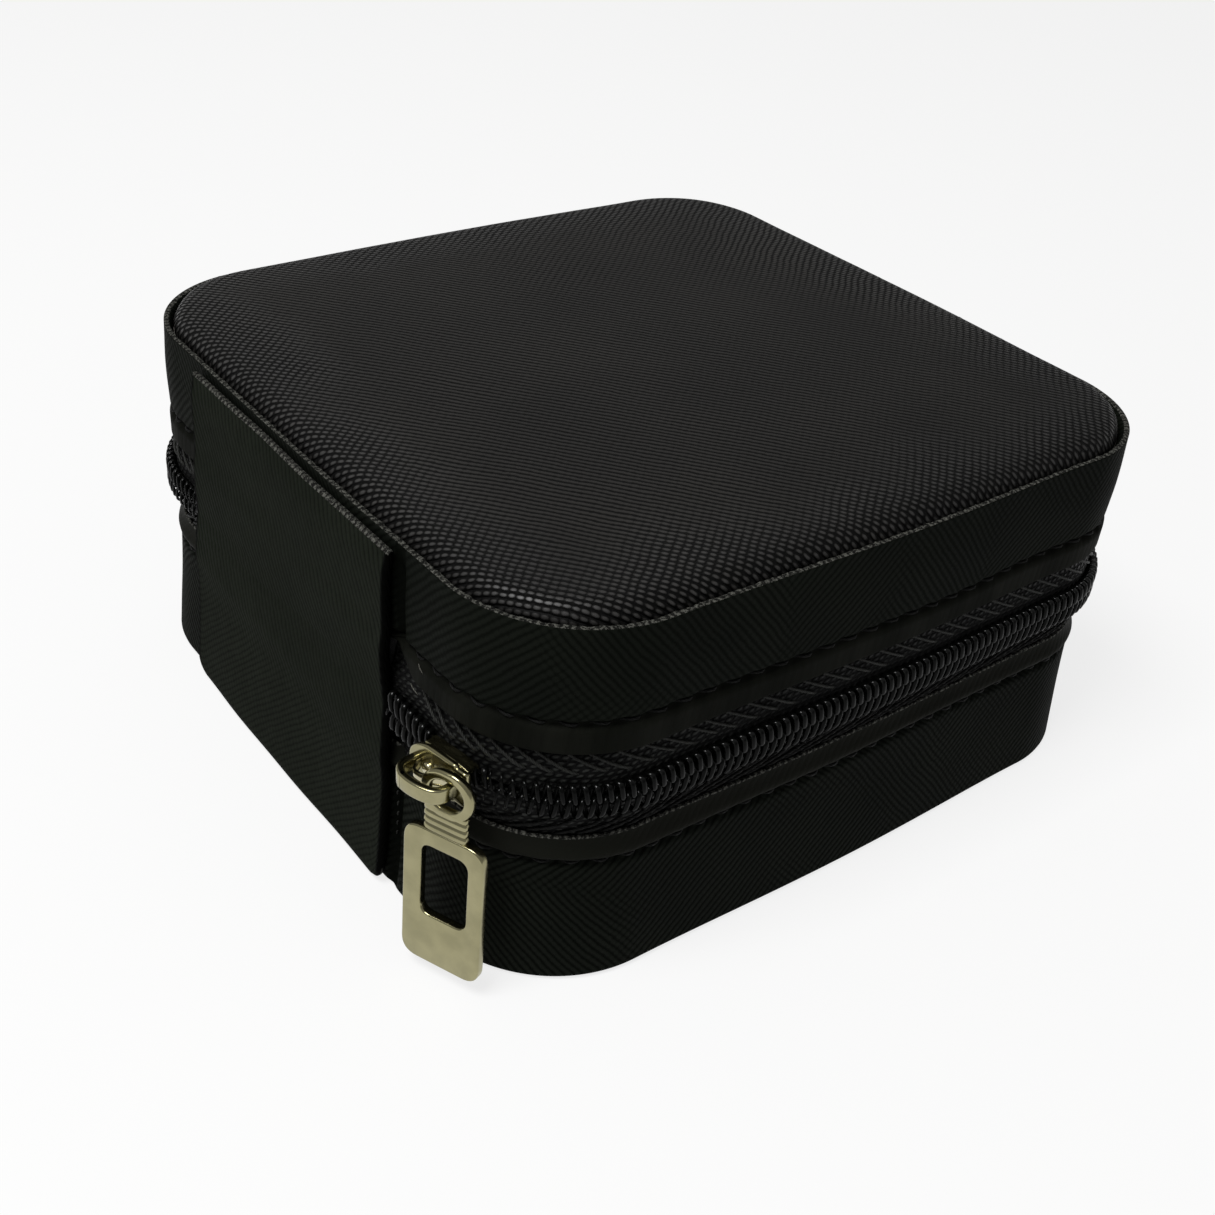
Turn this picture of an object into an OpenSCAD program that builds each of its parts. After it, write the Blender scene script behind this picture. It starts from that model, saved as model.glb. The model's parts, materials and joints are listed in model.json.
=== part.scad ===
// Zip-round travel jewellery case: two leather-covered board trays joined by a leather spine,
// closed by a coil zip whose slider rides round the corner nearest the spine.
// Frame: +Z up, origin at the centre of the bottom face, spine on +Y, slider at the -X +Y corner.

/* [Case] */
// Width of the case, along the spine
case_w = 100; // [86:1:130]
// Depth of the case, from the front to the spine
case_d = 104; // [92:1:130]
// Radius of the upright corners
corner_r = 17; // [15:0.5:22]
// Height of the base's side band
base_band_h = 21; // [19:0.5:30]
// Height of the lid's side band
lid_band_h = 16.4; // [15:0.5:26]
// Height of the zip gap between the two side bands
zip_gap_h = 12.2; // [11:0.2:16]

/* [Walls] */
// Thickness of the leather with its backing
leather_t = 1.2; // [0.8:0.1:1.6]
// Thickness of the tray boards
board_t = 1.6; // [1:0.1:2.4]
// Thickness of the velvet lining with its backing
lining_t = 0.6; // [0.4:0.1:1]
// Thickness of the bottom panel
bottom_t = 1; // [0.8:0.1:2]
// Thickness of the foam under the lid's top
foam_t = 2; // [1:0.1:4]
// Height from the lid's board to the edge of its side band
rim_h = 1.4; // [0.8:0.1:2.4]
// Radius of the lid cover's shoulder
shoulder_r = 1.8; // [1:0.1:2.4]
// Groove between the side band and the padded lid cover
groove_w = 0.4; // [0.2:0.1:1]
// Height of the lid cover's flat top over the foam
cover_t = 1.4; // [1:0.1:1.8]
// Setback of the boards' edges from the side bands' edges
edge_setback = 1; // [0.6:0.1:1.6]

/* [Spine] */
// Width of the leather spine
spine_w = 48; // [30:1:56]
// Thickness of the leather spine
spine_t = 1.3; // [0.8:0.1:2]
// Distance from the lid's top edge down to the spine
spine_drop = 1; // [0.4:0.1:3]
// Split between the two halves of the spine at the hinge line
hinge_split = 0.6; // [0.4:0.1:1]
// Distance of the lid's fold line behind the spine
hinge_gap = 0.9; // [0.5:0.1:1.4]

/* [Zip] */
// Thickness of the zip tape
tape_t = 0.5; // [0.4:0.05:0.8]
// How far the tape is glued in behind each side band
tape_tuck = 9; // [6:0.5:12]
// Distance of the visible tape behind the outline
tape_inset = 0.3; // [0.2:0.05:0.6]
// Thickness of the coil
coil_t = 1.6; // [1.2:0.1:2]
// Height of one coil row
coil_row_h = 1.75; // [1.4:0.05:2]
// Slot between the two coil rows
coil_slot = 0.9; // [0.8:0.1:1.2]
// Height over which the tape steps out to the coil
tape_step_h = 2.2; // [1.6:0.1:2.6]
// Distance from the side band's edge to the tape's step
tape_step_gap = 0.2; // [0:0.1:0.6]
// How far the open ends of the rows spread apart
coil_spread = 0.8; // [0.2:0.1:1.4]

/* [Slider] */
// Length of the slider along the track
slider_l = 9.2; // [8:0.1:11]
// Height of the slider across the track
slider_h = 6; // [5.6:0.1:7]
// Thickness of the slider's outer plate
plate_t = 1; // [0.8:0.1:1.4]
// Thickness of the slider's inner plate
back_plate_t = 0.8; // [0.6:0.1:1.2]
// Height of the slider's flanges
flange_h = 0.5; // [0.4:0.1:0.6]
// Angle of the slider's middle about the corner's axis
slider_arc = 101.5; // [101:0.5:150]
// Thickness of the bridge strap
bridge_t = 1.1; // [0.8:0.1:1.3]
// Width of the bridge strap
bridge_w = 2; // [1.6:0.1:2.4]
// Length of the bridge between the middles of its legs
bridge_l = 6.95; // [6.5:0.05:7.5]
// Height of the bridge over the outer plate
bridge_h = 3.8; // [3.4:0.1:4.2]
// Radius of the lock's rivet
rivet_r = 0.8; // [0.5:0.1:0.9]
// Height of the lock's rivet
rivet_h = 0.7; // [0.4:0.1:1]
// Angle from the slider's middle back to its lock
rivet_back_arc = 5.5; // [4:0.5:6.5]

/* [Pull] */
// Width of the pull tab
pull_w = 11; // [9:0.5:14]
// Height of the pull tab
pull_h = 19; // [14:0.5:19]
// Thickness of the pull tab
pull_t = 1.2; // [0.8:0.1:1.3]
// Corner radius of the pull tab
pull_r = 1.8; // [1:0.1:2.5]
// Width of the pull tab's window
window_w = 6.4; // [4:0.1:7.4]
// Height of the pull tab's window
window_h = 9.9; // [6:0.1:10]
// Distance from the tab's top edge to its window
window_drop = 2.2; // [2:0.1:4]
// Corner radius of the window
window_r = 1.1; // [0.6:0.1:2]
// Width of the ribbed neck
neck_w = 5.8; // [4:0.1:6.4]
// Length of the neck between the eye and the tab
neck_l = 2.8; // [2.4:0.1:4]
// Height of the hole in the pull's eye
eye_bore = 3.7; // [3.4:0.1:4]
// Height of the pull's eye outside
eye_d = 6.2; // [5.8:0.1:6.6]
// Extra width of the eye and its hole, sideways
eye_long = 0.9; // [0:0.1:1.2]

/* [Base interior] */
// Number of ring rolls
roll_count = 5; // [5]
// Thickness of a ring roll
roll_t = 8; // [6:0.1:8.4]
// Height of a ring roll above the lining
roll_h = 12.8; // [9:0.1:15]
// Pitch of the ring rolls
roll_pitch = 8.5; // [8.4:0.1:9]
// Distance from the front lining to the middle of the first ring roll
roll_front = 5.6; // [5:0.1:8]
// Thickness of the partitions and dividers
divider_t = 2.4; // [1.6:0.1:3]
// Height of the partitions and dividers above the lining
divider_h = 16; // [12:0.5:17]
// Distance of each removable divider from the middle
divider_x = 15.5; // [10:0.5:24]

/* [Lid interior] */
// Width of the lid pocket
pocket_w = 60; // [40:1:64]
// Depth of the lid pocket, from its mouth to its closed end
pocket_l = 32; // [20:1:34]
// Height of the lid pocket
pocket_h = 7; // [5:0.5:8]
// Wall of the lid pocket
pocket_t = 0.8; // [0.6:0.1:1.2]
// Distance from the pocket's closed end to the back lining
pocket_gap = 4.6; // [3.5:0.1:12]
// Width of the pocket's elastic hem
elastic_w = 5; // [3:0.5:8]
// Width of a chain hook
hook_w = 9; // [6:0.5:12]
// Length of a chain hook
hook_l = 19; // [12:0.5:19]
// Thickness of a chain hook
hook_t = 1.4; // [1:0.1:1.8]
// Pitch of the chain hooks
hook_pitch = 20; // [14:1:22]
// Distance from the front lining to the strip that the hooks fold from
strip_gap = 4; // [3.5:0.1:6]
// Depth of that strip
strip_l = 4; // [3:0.1:6]
// Height of a snap stud
stud_h = 1.1; // [0.8:0.1:1.6]
// Diameter of a snap stud
stud_d = 3.6; // [3:0.1:5]
// Diameter of a snap cap
cap_d = 5.6; // [4:0.1:7]
// Thickness of a snap cap
cap_t = 0.8; // [0.5:0.1:1.2]

/* [Fits] */
// Clearance between pieces that move past each other
run_gap = 0.3; // [0.2:0.05:0.5]
// Clearance between the slider and the coil
slide_gap = 0.2; // [0.15:0.05:0.3]

/* [Hidden] */
$fn = 96;

// How far a cutting solid runs past what it cuts
over = 1;

// Lengths of the straight stretches between the corners
straight_x = case_w - 2 * corner_r;
straight_y = case_d - 2 * corner_r;
corner_x = straight_x / 2;
corner_y = straight_y / 2;

// Levels, from the bottom up
lid_band_z = base_band_h + zip_gap_h;
zip_z = (base_band_h + lid_band_z) / 2;
rim_z = lid_band_z + lid_band_h;
floor_z = bottom_t + board_t;
lined_floor_z = floor_z + lining_t;
base_edge_z = base_band_h - edge_setback;
lid_edge_z = lid_band_z + edge_setback;
lid_board_z = rim_z - rim_h - board_t;
ceiling_z = lid_board_z - lining_t;
foam_top_z = rim_z - rim_h + foam_t;
cover_top_z = foam_top_z + cover_t;

// Depths behind the outline
shell_n = -leather_t;
tape_seat_n = shell_n - tape_t;
shell_in_n = shell_n - board_t;
lined_n = shell_in_n - lining_t;
cover_n = -leather_t - groove_w;
tape_n = -tape_inset - tape_t;

// Zip levels: the tapes end behind the coils, which meet at the slot
coil_n0 = -tape_inset;
coil_n1 = coil_n0 + coil_t;
row_z0 = zip_z + coil_slot / 2;
row_z1 = row_z0 + coil_row_h;
tape_edge_z = zip_z + run_gap;
joggle_z0 = zip_gap_h / 2 - tape_step_gap;
joggle_z1 = joggle_z0 - tape_step_h;
tape_tuck_z = zip_gap_h / 2 + tape_tuck;

// Slider: its plates lie either side of the coil and tape
plate_n0 = coil_n1 + slide_gap;
plate_n1 = plate_n0 + plate_t;
back_n1 = tape_n - slide_gap / 2;
back_n0 = back_n1 - back_plate_t;
slider_half_arc = slider_l / 2 / (corner_r + plate_n0) * 180 / PI;
slider_a0 = slider_arc - slider_half_arc;
slider_a1 = slider_arc + slider_half_arc;
post_arc = 4;
post_h = coil_slot - 2 * slide_gap;
weld = 0.2;
bridge_shift_arc = 1.2;
bridge_arc = slider_arc - bridge_shift_arc;
bridge_n1 = plate_n1 + bridge_h;
bridge_half_arc = bridge_l / 2 / (corner_r + bridge_n1) * 180 / PI;
bridge_a0 = bridge_arc - bridge_half_arc;
pull_arc = bridge_arc + bridge_half_arc;
rivet_arc = slider_arc - rivet_back_arc;
eye_n = plate_n1 + run_gap * 2 + pull_t / 2;
eye_z = zip_z + bridge_w / 2 + run_gap - eye_bore / 2;
pull_top_z = eye_z - eye_d / 2 + weld - neck_l;

// Where the zip's pieces start and end
zip_end_x = spine_w / 2;
link_gap_arc = 2;
slider_margin_arc = 3;
link_a0 = slider_a0 + post_arc + link_gap_arc;
link_a1 = slider_a1 + slider_margin_arc;
notch_a0 = slider_a0 - slider_margin_arc;
notch_a1 = link_a1 + link_gap_arc / 2;

// Hinge line of the lid, outside the spine and the coils. The upper tape's notch is high enough
// to pass over the slider's flange, and over its bridge as the lid turns.
hinge_y = case_d / 2 + spine_t + hinge_gap;
bridge_reach = norm([case_d / 2 + bridge_n1 - hinge_y, bridge_w / 2]) + run_gap;
tape_reach = hinge_y - case_d / 2 + tape_inset;
notch_rise = max(slider_h / 2 + 2 * slide_gap, sqrt(max(bridge_reach * bridge_reach - tape_reach * tape_reach, 0)));
notch_z = zip_z + notch_rise;

// Half width of the lined tray at a distance y from the middle, less a gap
function tray_half(y, gap) =
    let (r = corner_r + lined_n - gap, dy = abs(y) - corner_y)
    corner_x + (dy <= 0 ? r : sqrt(max(r * r - dy * dy, 0)));

roll_y0 = -case_d / 2 - lined_n + roll_front;
partition_y = roll_y0 + (roll_count - 1) * roll_pitch + roll_t / 2 + run_gap + divider_t / 2;
tray_back_y = case_d / 2 + lined_n;
hook_z = ceiling_z - stud_h - slide_gap / 2 - hook_t / 2;
strip_back_y = strip_gap + strip_l - tray_back_y;
hook_root_y = strip_back_y + hook_t / 2 + slide_gap;
pocket_back_y = tray_back_y - pocket_gap;
cap_margin = 1;
stud_y = hook_root_y + hook_l - cap_d / 2 - cap_margin;

leather_black = [0.1, 0.11, 0.1];
velvet_black = [0.16, 0.16, 0.17];
nickel = [0.78, 0.76, 0.68];

// A profile turned about one corner's axis, from angle a0 to a1. Profile x is the distance
// outside the outline and profile y is the height.
module corner_sweep(cx, cy, a0, a1) {
    translate([cx, cy, 0])
        rotate([0, 0, a1])
            mirror([0, 1, 0])
                rotate_extrude(angle = a1 - a0)
                    translate([corner_r, 0])
                        children();
}

// The same profile along one side, whose outward normal points at the angle a
module side_sweep(a, half, t0, t1) {
    rotate([0, 0, a])
        translate([half, t1, 0])
            rotate([90, 0, 0])
                linear_extrude(t1 - t0)
                    children();
}

// The profile all the way round the case
module around() {
    side_sweep(0, case_w / 2, -corner_y, corner_y) children();
    corner_sweep(corner_x, corner_y, 0, 90) children();
    side_sweep(90, case_d / 2, -corner_x, corner_x) children();
    corner_sweep(-corner_x, corner_y, 90, 180) children();
    side_sweep(180, case_w / 2, -corner_y, corner_y) children();
    corner_sweep(-corner_x, -corner_y, 180, 270) children();
    side_sweep(270, case_d / 2, -corner_x, corner_x) children();
    corner_sweep(corner_x, -corner_y, 270, 360) children();
}

// The profile along the zip's path, from the angle a0 at the slider's corner round to the spine
module zip_path(a0) {
    corner_sweep(-corner_x, corner_y, a0, 180) children();
    side_sweep(180, case_w / 2, -corner_y, corner_y) children();
    corner_sweep(-corner_x, -corner_y, 180, 270) children();
    side_sweep(270, case_d / 2, -corner_x, corner_x) children();
    corner_sweep(corner_x, -corner_y, 270, 360) children();
    side_sweep(0, case_w / 2, -corner_y, corner_y) children();
    corner_sweep(corner_x, corner_y, 0, 90) children();
    side_sweep(90, case_d / 2, -corner_x, -zip_end_x) children();
}

// A block between two depths and two heights, in profile
module band(n0, n1, z0, z1) {
    polygon([[n0, z0], [n1, z0], [n1, z1], [n0, z1]]);
}

// A flat layer that fills the outline out to the depth n
module slab(n, z0, z1) {
    around() band(-corner_r, n, z0, z1);
    translate([-corner_x, -corner_y, z0]) cube([straight_x, straight_y, z1 - z0]);
}

// Mirrors a profile or a solid about the zip's middle height
module above_zip_2d() {
    translate([0, 2 * zip_z]) mirror([0, 1]) children();
}

module above_zip() {
    translate([0, 0, 2 * zip_z]) mirror([0, 0, 1]) children();
}

// A square with rounded corners, in the plane, centred in x and hung from y = 0
module tab_outline(w, h, r) {
    translate([-w / 2 + r, -h]) square([w - 2 * r, h]);
    translate([-w / 2, -h + r]) square([w, h - 2 * r]);
    for (x = [-w / 2 + r, w / 2 - r], y = [-h + r, -r])
        translate([x, y]) circle(r);
}

// ---- Base ----

module base_bottom_panel() {
    color(leather_black) slab(shell_n, 0, bottom_t);
}

module base_shell() {
    color("dimgray") {
        slab(shell_n, bottom_t, floor_z);
        around() {
            band(shell_in_n, tape_seat_n, floor_z, base_edge_z);
            band(tape_seat_n, shell_n, floor_z, zip_z - tape_tuck_z);
        }
    }
}

module base_side_band() {
    color(leather_black) around() band(shell_n, 0, 0, base_band_h);
}

module base_lining() {
    color(velvet_black) {
        slab(shell_in_n, floor_z, lined_floor_z);
        around() {
            band(lined_n, shell_in_n, lined_floor_z, base_edge_z);
            band(lined_n, tape_seat_n, base_edge_z, base_edge_z + lining_t);
        }
    }
}

module centre_partition() {
    half = tray_half(partition_y, 0);
    color(velvet_black)
        translate([-half, partition_y - divider_t / 2, lined_floor_z])
            cube([2 * half, divider_t, divider_h]);
}

// One foam roll across the tray: upright sides and a round top, cut short near the corners
module ring_roll(i) {
    y = roll_y0 + i * roll_pitch;
    half = tray_half(min(y - roll_t / 2, y + roll_t / 2), run_gap);
    color(velvet_black)
        translate([-half, y, lined_floor_z])
            rotate([90, 0, 90])
                linear_extrude(2 * half) {
                    translate([-roll_t / 2, 0]) square([roll_t, roll_h - roll_t / 2]);
                    translate([0, roll_h - roll_t / 2]) circle(d = roll_t);
                }
}

// A loose divider standing between the partition and the back lining
module divider(side) {
    y0 = partition_y + divider_t / 2 + run_gap;
    color(velvet_black)
        translate([side * divider_x - divider_t / 2, y0, lined_floor_z])
            cube([divider_t, tray_back_y - run_gap - y0, divider_h]);
}

// ---- Zip ----

// Section of the lower tape: tucked in behind the band, then stepped out to the coil
module tape_profile() {
    polygon([
        [tape_seat_n, zip_z - tape_tuck_z], [shell_n, zip_z - tape_tuck_z],
        [shell_n, zip_z - joggle_z0], [-tape_inset, zip_z - joggle_z1],
        [-tape_inset, zip_z - run_gap], [tape_n, zip_z - run_gap],
        [tape_n, zip_z - joggle_z1], [tape_seat_n, zip_z - joggle_z0]
    ]);
}

// The tape's whole path, from one edge of the spine to the other
module tape_path() {
    side_sweep(90, case_d / 2, zip_end_x, corner_x) children();
    zip_path(90) children();
}

module zip_tape_lower() {
    color([0.14, 0.14, 0.14]) tape_path() tape_profile();
}

// The upper tape is cut away where the slider holds it, so that the lid can lift off the slider
module zip_tape_upper() {
    color([0.14, 0.14, 0.14])
        difference() {
            tape_path() above_zip_2d() tape_profile();
            corner_sweep(-corner_x, corner_y, notch_a0, notch_a1)
                band(tape_seat_n - over, over, zip_z - over, notch_z);
        }
}

// Section of the upper coil row
module row_profile() {
    band(coil_n0, coil_n1, row_z0, row_z1);
}

// The open end of the upper row, rising from the slider's mouth to the spine
module row_open_end() {
    x0 = -corner_x + (corner_r + coil_n1) * cos(slider_a0) + slide_gap;
    translate([0, case_d / 2 + coil_n1, 0])
        rotate([90, 0, 0])
            linear_extrude(coil_t)
                polygon([
                    [x0, row_z0], [-zip_end_x, row_z0 + coil_spread],
                    [-zip_end_x, row_z1 + coil_spread], [x0, row_z1]
                ]);
}

module zip_coil_lower() {
    color([0.08, 0.08, 0.08]) above_zip() {
        zip_path(link_a0) row_profile();
        row_open_end();
    }
}

module zip_coil_upper() {
    color([0.08, 0.08, 0.08]) {
        zip_path(notch_a1) row_profile();
        row_open_end();
    }
}

// The last joined links of the upper row, with their tape, held inside the slider
module zip_joined_links() {
    color([0.08, 0.08, 0.08])
        corner_sweep(-corner_x, corner_y, link_a0, link_a1) {
            row_profile();
            band(tape_n, coil_n0, tape_edge_z, zip_z + slider_h / 2 - flange_h);
        }
}

// ---- Spine ----

module spine_lower() {
    color(leather_black)
        translate([-spine_w / 2, case_d / 2, 0])
            cube([spine_w, spine_t, zip_z - hinge_split / 2]);
}

module spine_upper() {
    z0 = zip_z + hinge_split / 2;
    color(leather_black)
        translate([-spine_w / 2, case_d / 2, z0])
            cube([spine_w, spine_t, rim_z - spine_drop - z0]);
}

// Cloth strip that closes the gap inside the spine
module hinge_strip() {
    color(velvet_black)
        side_sweep(90, case_d / 2, -zip_end_x, zip_end_x)
            band(tape_seat_n, shell_n, zip_z - tape_tuck_z, zip_z - run_gap);
}

module hinge_strip_lower() {
    hinge_strip();
}

module hinge_strip_upper() {
    above_zip() hinge_strip();
}

// ---- Slider and pull ----

// Two plates with flanges, joined by the thin post at the slider's wide end
module slider_body() {
    half = slider_h / 2;
    color(nickel) {
        corner_sweep(-corner_x, corner_y, slider_a0, slider_a1) {
            band(plate_n0, plate_n1, zip_z - half, zip_z + half);
            band(back_n0, back_n1, zip_z - half, zip_z + half);
            for (s = [-1, 1])
                translate([0, zip_z + s * (half - flange_h / 2)])
                    band(0, plate_n0, -flange_h / 2, flange_h / 2);
        }
        corner_sweep(-corner_x, corner_y, slider_a0, slider_a0 + post_arc)
            band(back_n0 + weld, plate_n1 - weld, zip_z - post_h / 2, zip_z + post_h / 2);
    }
}

// One leg of the bridge, standing on the outer plate at the angle a
module bridge_leg(a) {
    translate([-corner_x, corner_y, zip_z - bridge_w / 2])
        rotate([0, 0, a])
            translate([corner_r + plate_n1, -bridge_t / 2, 0])
                cube([bridge_h - bridge_t / 2, bridge_t, bridge_w]);
}

module slider_bridge() {
    color(nickel) {
        bridge_leg(bridge_a0);
        bridge_leg(pull_arc);
        corner_sweep(-corner_x, corner_y, bridge_a0, pull_arc)
            band(bridge_n1 - bridge_t, bridge_n1, zip_z - bridge_w / 2, zip_z + bridge_w / 2);
    }
}

// Round rivet of the lock spring, on the outer plate under the bridge
module slider_lock_rivet() {
    color(nickel)
        translate([-corner_x, corner_y, zip_z])
            rotate([0, 0, rivet_arc])
                translate([corner_r + plate_n1, 0, 0])
                    rotate([0, 90, 0])
                        cylinder(h = rivet_h, r = rivet_r);
}

// Two round ends of the pull's eye, joined, as a solid of the given height and thickness
module eye_solid(d, t) {
    for (x = [-eye_long / 2, eye_long / 2])
        translate([x, eye_z, 0]) cylinder(h = t, d = d);
    translate([-eye_long / 2, eye_z - d / 2, 0]) cube([eye_long, d, t]);
}

// Eye, ribbed neck and windowed tab, in one casting that hangs from the bridge's leg
module zip_pull() {
    color(nickel)
        translate([-corner_x, corner_y, 0])
            rotate([0, 0, pull_arc - 90])
                translate([0, corner_r + eye_n + pull_t / 2, 0])
                    rotate([90, 0, 0])
                        difference() {
                            union() {
                                eye_solid(eye_d, pull_t);
                                linear_extrude(pull_t) {
                                    translate([-neck_w / 2, pull_top_z - weld])
                                        square([neck_w, eye_z - pull_top_z + weld]);
                                    translate([0, pull_top_z]) tab_outline(pull_w, pull_h, pull_r);
                                }
                            }
                            translate([0, 0, -over]) eye_solid(eye_bore, pull_t + 2 * over);
                            translate([0, pull_top_z - window_drop, -over])
                                linear_extrude(pull_t + 2 * over)
                                    tab_outline(window_w, window_h, window_r);
                        }
}

// ---- Lid ----

module lid_side_band() {
    color(leather_black) around() band(shell_n, 0, lid_band_z, rim_z);
}

module lid_shell() {
    color("dimgray") {
        slab(shell_n, lid_board_z, rim_z - rim_h);
        around() {
            band(shell_in_n, tape_seat_n, lid_edge_z, lid_board_z);
            band(tape_seat_n, shell_n, zip_z + tape_tuck_z, lid_board_z);
        }
    }
}

module lid_foam() {
    color("gray") slab(cover_n - leather_t, rim_z - rim_h, foam_top_z);
}

// Padded leather cover: a skirt and a round shoulder over the foam's edge, and a flat top
module lid_top_cover() {
    flat_n = cover_n - shoulder_r - leather_t;
    cover_z = rim_z - rim_h;
    color(leather_black) {
        around() difference() {
            union() {
                band(flat_n, cover_n, cover_z, cover_top_z - shoulder_r);
                band(flat_n, cover_n - shoulder_r, cover_z, cover_top_z);
                translate([cover_n - shoulder_r, cover_top_z - shoulder_r]) circle(shoulder_r);
            }
            band(flat_n - over, cover_n - leather_t, cover_z, foam_top_z);
            band(flat_n - over, cover_n + over, cover_z - shoulder_r, cover_z);
        }
        slab(flat_n, foam_top_z, cover_top_z);
    }
}

module lid_lining() {
    color(velvet_black) {
        slab(shell_in_n, ceiling_z, lid_board_z);
        around() {
            band(lined_n, shell_in_n, lid_edge_z, ceiling_z);
            band(lined_n, tape_seat_n, lid_edge_z - lining_t, lid_edge_z);
        }
    }
}

// ---- Lid interior ----

// Pocket under the lid's ceiling, open at the front
module lid_pocket() {
    z0 = ceiling_z - pocket_h;
    y0 = pocket_back_y - pocket_l;
    color(velvet_black) {
        translate([-pocket_w / 2, y0, z0]) cube([pocket_w, pocket_l, pocket_t]);
        translate([-pocket_w / 2, pocket_back_y - pocket_t, z0]) cube([pocket_w, pocket_t, pocket_h]);
        for (x = [-pocket_w / 2, pocket_w / 2 - pocket_t])
            translate([x, y0, z0]) cube([pocket_t, pocket_l, pocket_h]);
    }
}

module pocket_elastic() {
    color(velvet_black)
        translate([-pocket_w / 2, pocket_back_y - pocket_l, ceiling_z - pocket_h - pocket_t])
            cube([pocket_w, elastic_w, pocket_t]);
}

// Leather strip that the chain hooks fold from
module hook_strip() {
    half = hook_pitch + hook_w / 2;
    color(leather_black)
        translate([-half, strip_back_y - strip_l, hook_z - hook_t / 2])
            cube([2 * half, strip_l, ceiling_z - hook_z + hook_t / 2]);
}

module snap_studs() {
    color(nickel)
        for (i = [-1:1])
            translate([i * hook_pitch, stud_y, ceiling_z - stud_h])
                cylinder(h = stud_h, d = stud_d);
}

module chain_hook(i) {
    color(leather_black)
        translate([i * hook_pitch, hook_root_y, hook_z - hook_t / 2]) {
            translate([-hook_w / 2, 0, 0]) cube([hook_w, hook_l - hook_w / 2, hook_t]);
            translate([0, hook_l - hook_w / 2, 0]) cylinder(h = hook_t, d = hook_w);
        }
}

module snap_cap(i) {
    color(nickel)
        translate([i * hook_pitch, stud_y, hook_z - hook_t / 2 - cap_t])
            cylinder(h = cap_t, d = cap_d);
}

base_bottom_panel();
base_shell();
base_side_band();
base_lining();
centre_partition();
ring_roll(0);  // ring_roll_1
ring_roll(1);  // ring_roll_2
ring_roll(2);  // ring_roll_3
ring_roll(3);  // ring_roll_4
ring_roll(4);  // ring_roll_5
zip_tape_lower();
zip_coil_lower();
zip_joined_links();
spine_lower();
hinge_strip_lower();
divider(-1);  // divider_left
divider(1);  // divider_right
slider_body();
slider_bridge();
slider_lock_rivet();
zip_pull();
lid_side_band();
lid_shell();
lid_foam();
lid_top_cover();
lid_lining();
zip_tape_upper();
zip_coil_upper();
spine_upper();
hinge_strip_upper();
hook_strip();
snap_studs();
lid_pocket();
pocket_elastic();
chain_hook(-1);  // chain_hook_1
chain_hook(0);  // chain_hook_2
chain_hook(1);  // chain_hook_3
snap_cap(-1);  // snap_cap_1
snap_cap(0);  // snap_cap_2
snap_cap(1);  // snap_cap_3
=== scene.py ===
"""A zip-round travel jewellery case in black cross-grained leather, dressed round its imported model.
Lengths in this file are millimetres until a mesh is made, and then metres."""
import json
import math
from collections import namedtuple

import bmesh
import bpy
import numpy as np
from mathutils import Matrix, Vector


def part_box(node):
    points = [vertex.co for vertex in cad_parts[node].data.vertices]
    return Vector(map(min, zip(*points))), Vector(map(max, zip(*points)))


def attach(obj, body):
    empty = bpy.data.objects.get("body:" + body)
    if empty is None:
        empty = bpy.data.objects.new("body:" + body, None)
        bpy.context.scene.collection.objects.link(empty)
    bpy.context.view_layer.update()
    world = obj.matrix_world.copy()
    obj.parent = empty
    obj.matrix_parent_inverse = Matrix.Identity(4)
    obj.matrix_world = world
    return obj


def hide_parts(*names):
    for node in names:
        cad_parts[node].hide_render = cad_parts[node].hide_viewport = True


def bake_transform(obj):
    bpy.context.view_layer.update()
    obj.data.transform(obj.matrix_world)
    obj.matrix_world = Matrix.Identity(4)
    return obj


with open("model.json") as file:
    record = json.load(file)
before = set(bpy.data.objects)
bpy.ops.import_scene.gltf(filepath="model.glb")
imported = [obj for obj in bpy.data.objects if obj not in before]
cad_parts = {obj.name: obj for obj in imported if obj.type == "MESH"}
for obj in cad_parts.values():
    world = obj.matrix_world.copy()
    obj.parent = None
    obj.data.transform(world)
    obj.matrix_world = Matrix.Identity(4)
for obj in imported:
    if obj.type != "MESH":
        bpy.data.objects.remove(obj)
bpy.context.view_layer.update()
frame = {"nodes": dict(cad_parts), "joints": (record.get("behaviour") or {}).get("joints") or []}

# ---------------------------------------------------------------- sizes, from the frame where it has them

MM = 0.001


def reach(node):
    """Lowest and highest corners of a node of the frame."""
    low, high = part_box(node)
    return np.array(low) / MM, np.array(high) / MM


HALF_W, HALF_D, BASE_TOP = reach("base_side_band")[1]
LID_LOW = reach("lid_side_band")[0][2]
RIM = reach("lid_side_band")[1][2]
SPINE_HALF = reach("spine_lower")[1][0]
SPINE_TOP = reach("spine_upper")[1][2]
ZIP_MID = 0.5 * (BASE_TOP + LID_LOW)
CORNER_R = 17.0
LEATHER_T = 1.2
TAPE_T = 0.5
LIP_IN = 1.9
LINED_IN = 3.4
LINED_FLOOR = reach("base_lining")[0][2] + 0.6
CEILING = reach("lid_lining")[1][2] - 0.6

SIDE_BOW = 0.7
END_BOW = 0.35
BASE_FLARE = 1.1
STITCH_PITCH = 3.5
LID_STITCH_Z = 37.1
BASE_STITCH_Z = 17.3

TAPE_ROW = 0.74
FLOAT_LENGTH = 1.15
THREAD_PITCH = 3.0
THREAD_RUN = 5.9

COIL_PITCH = 1.3
COIL_STEPS = 14
COIL_WIRE = 0.3
COIL_WIDE = 1.4
COIL_OUT = 0.5
COIL_DEEP = 0.55
COIL_HALF = 1.2
COIL_ROW = 0.95

SLIDER_ANGLE = 101.5
SLIDER_ENDS = (88.0, 114.5)
PULL_OUT = 3.7

# ---------------------------------------------------------------- the line round the case

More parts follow.
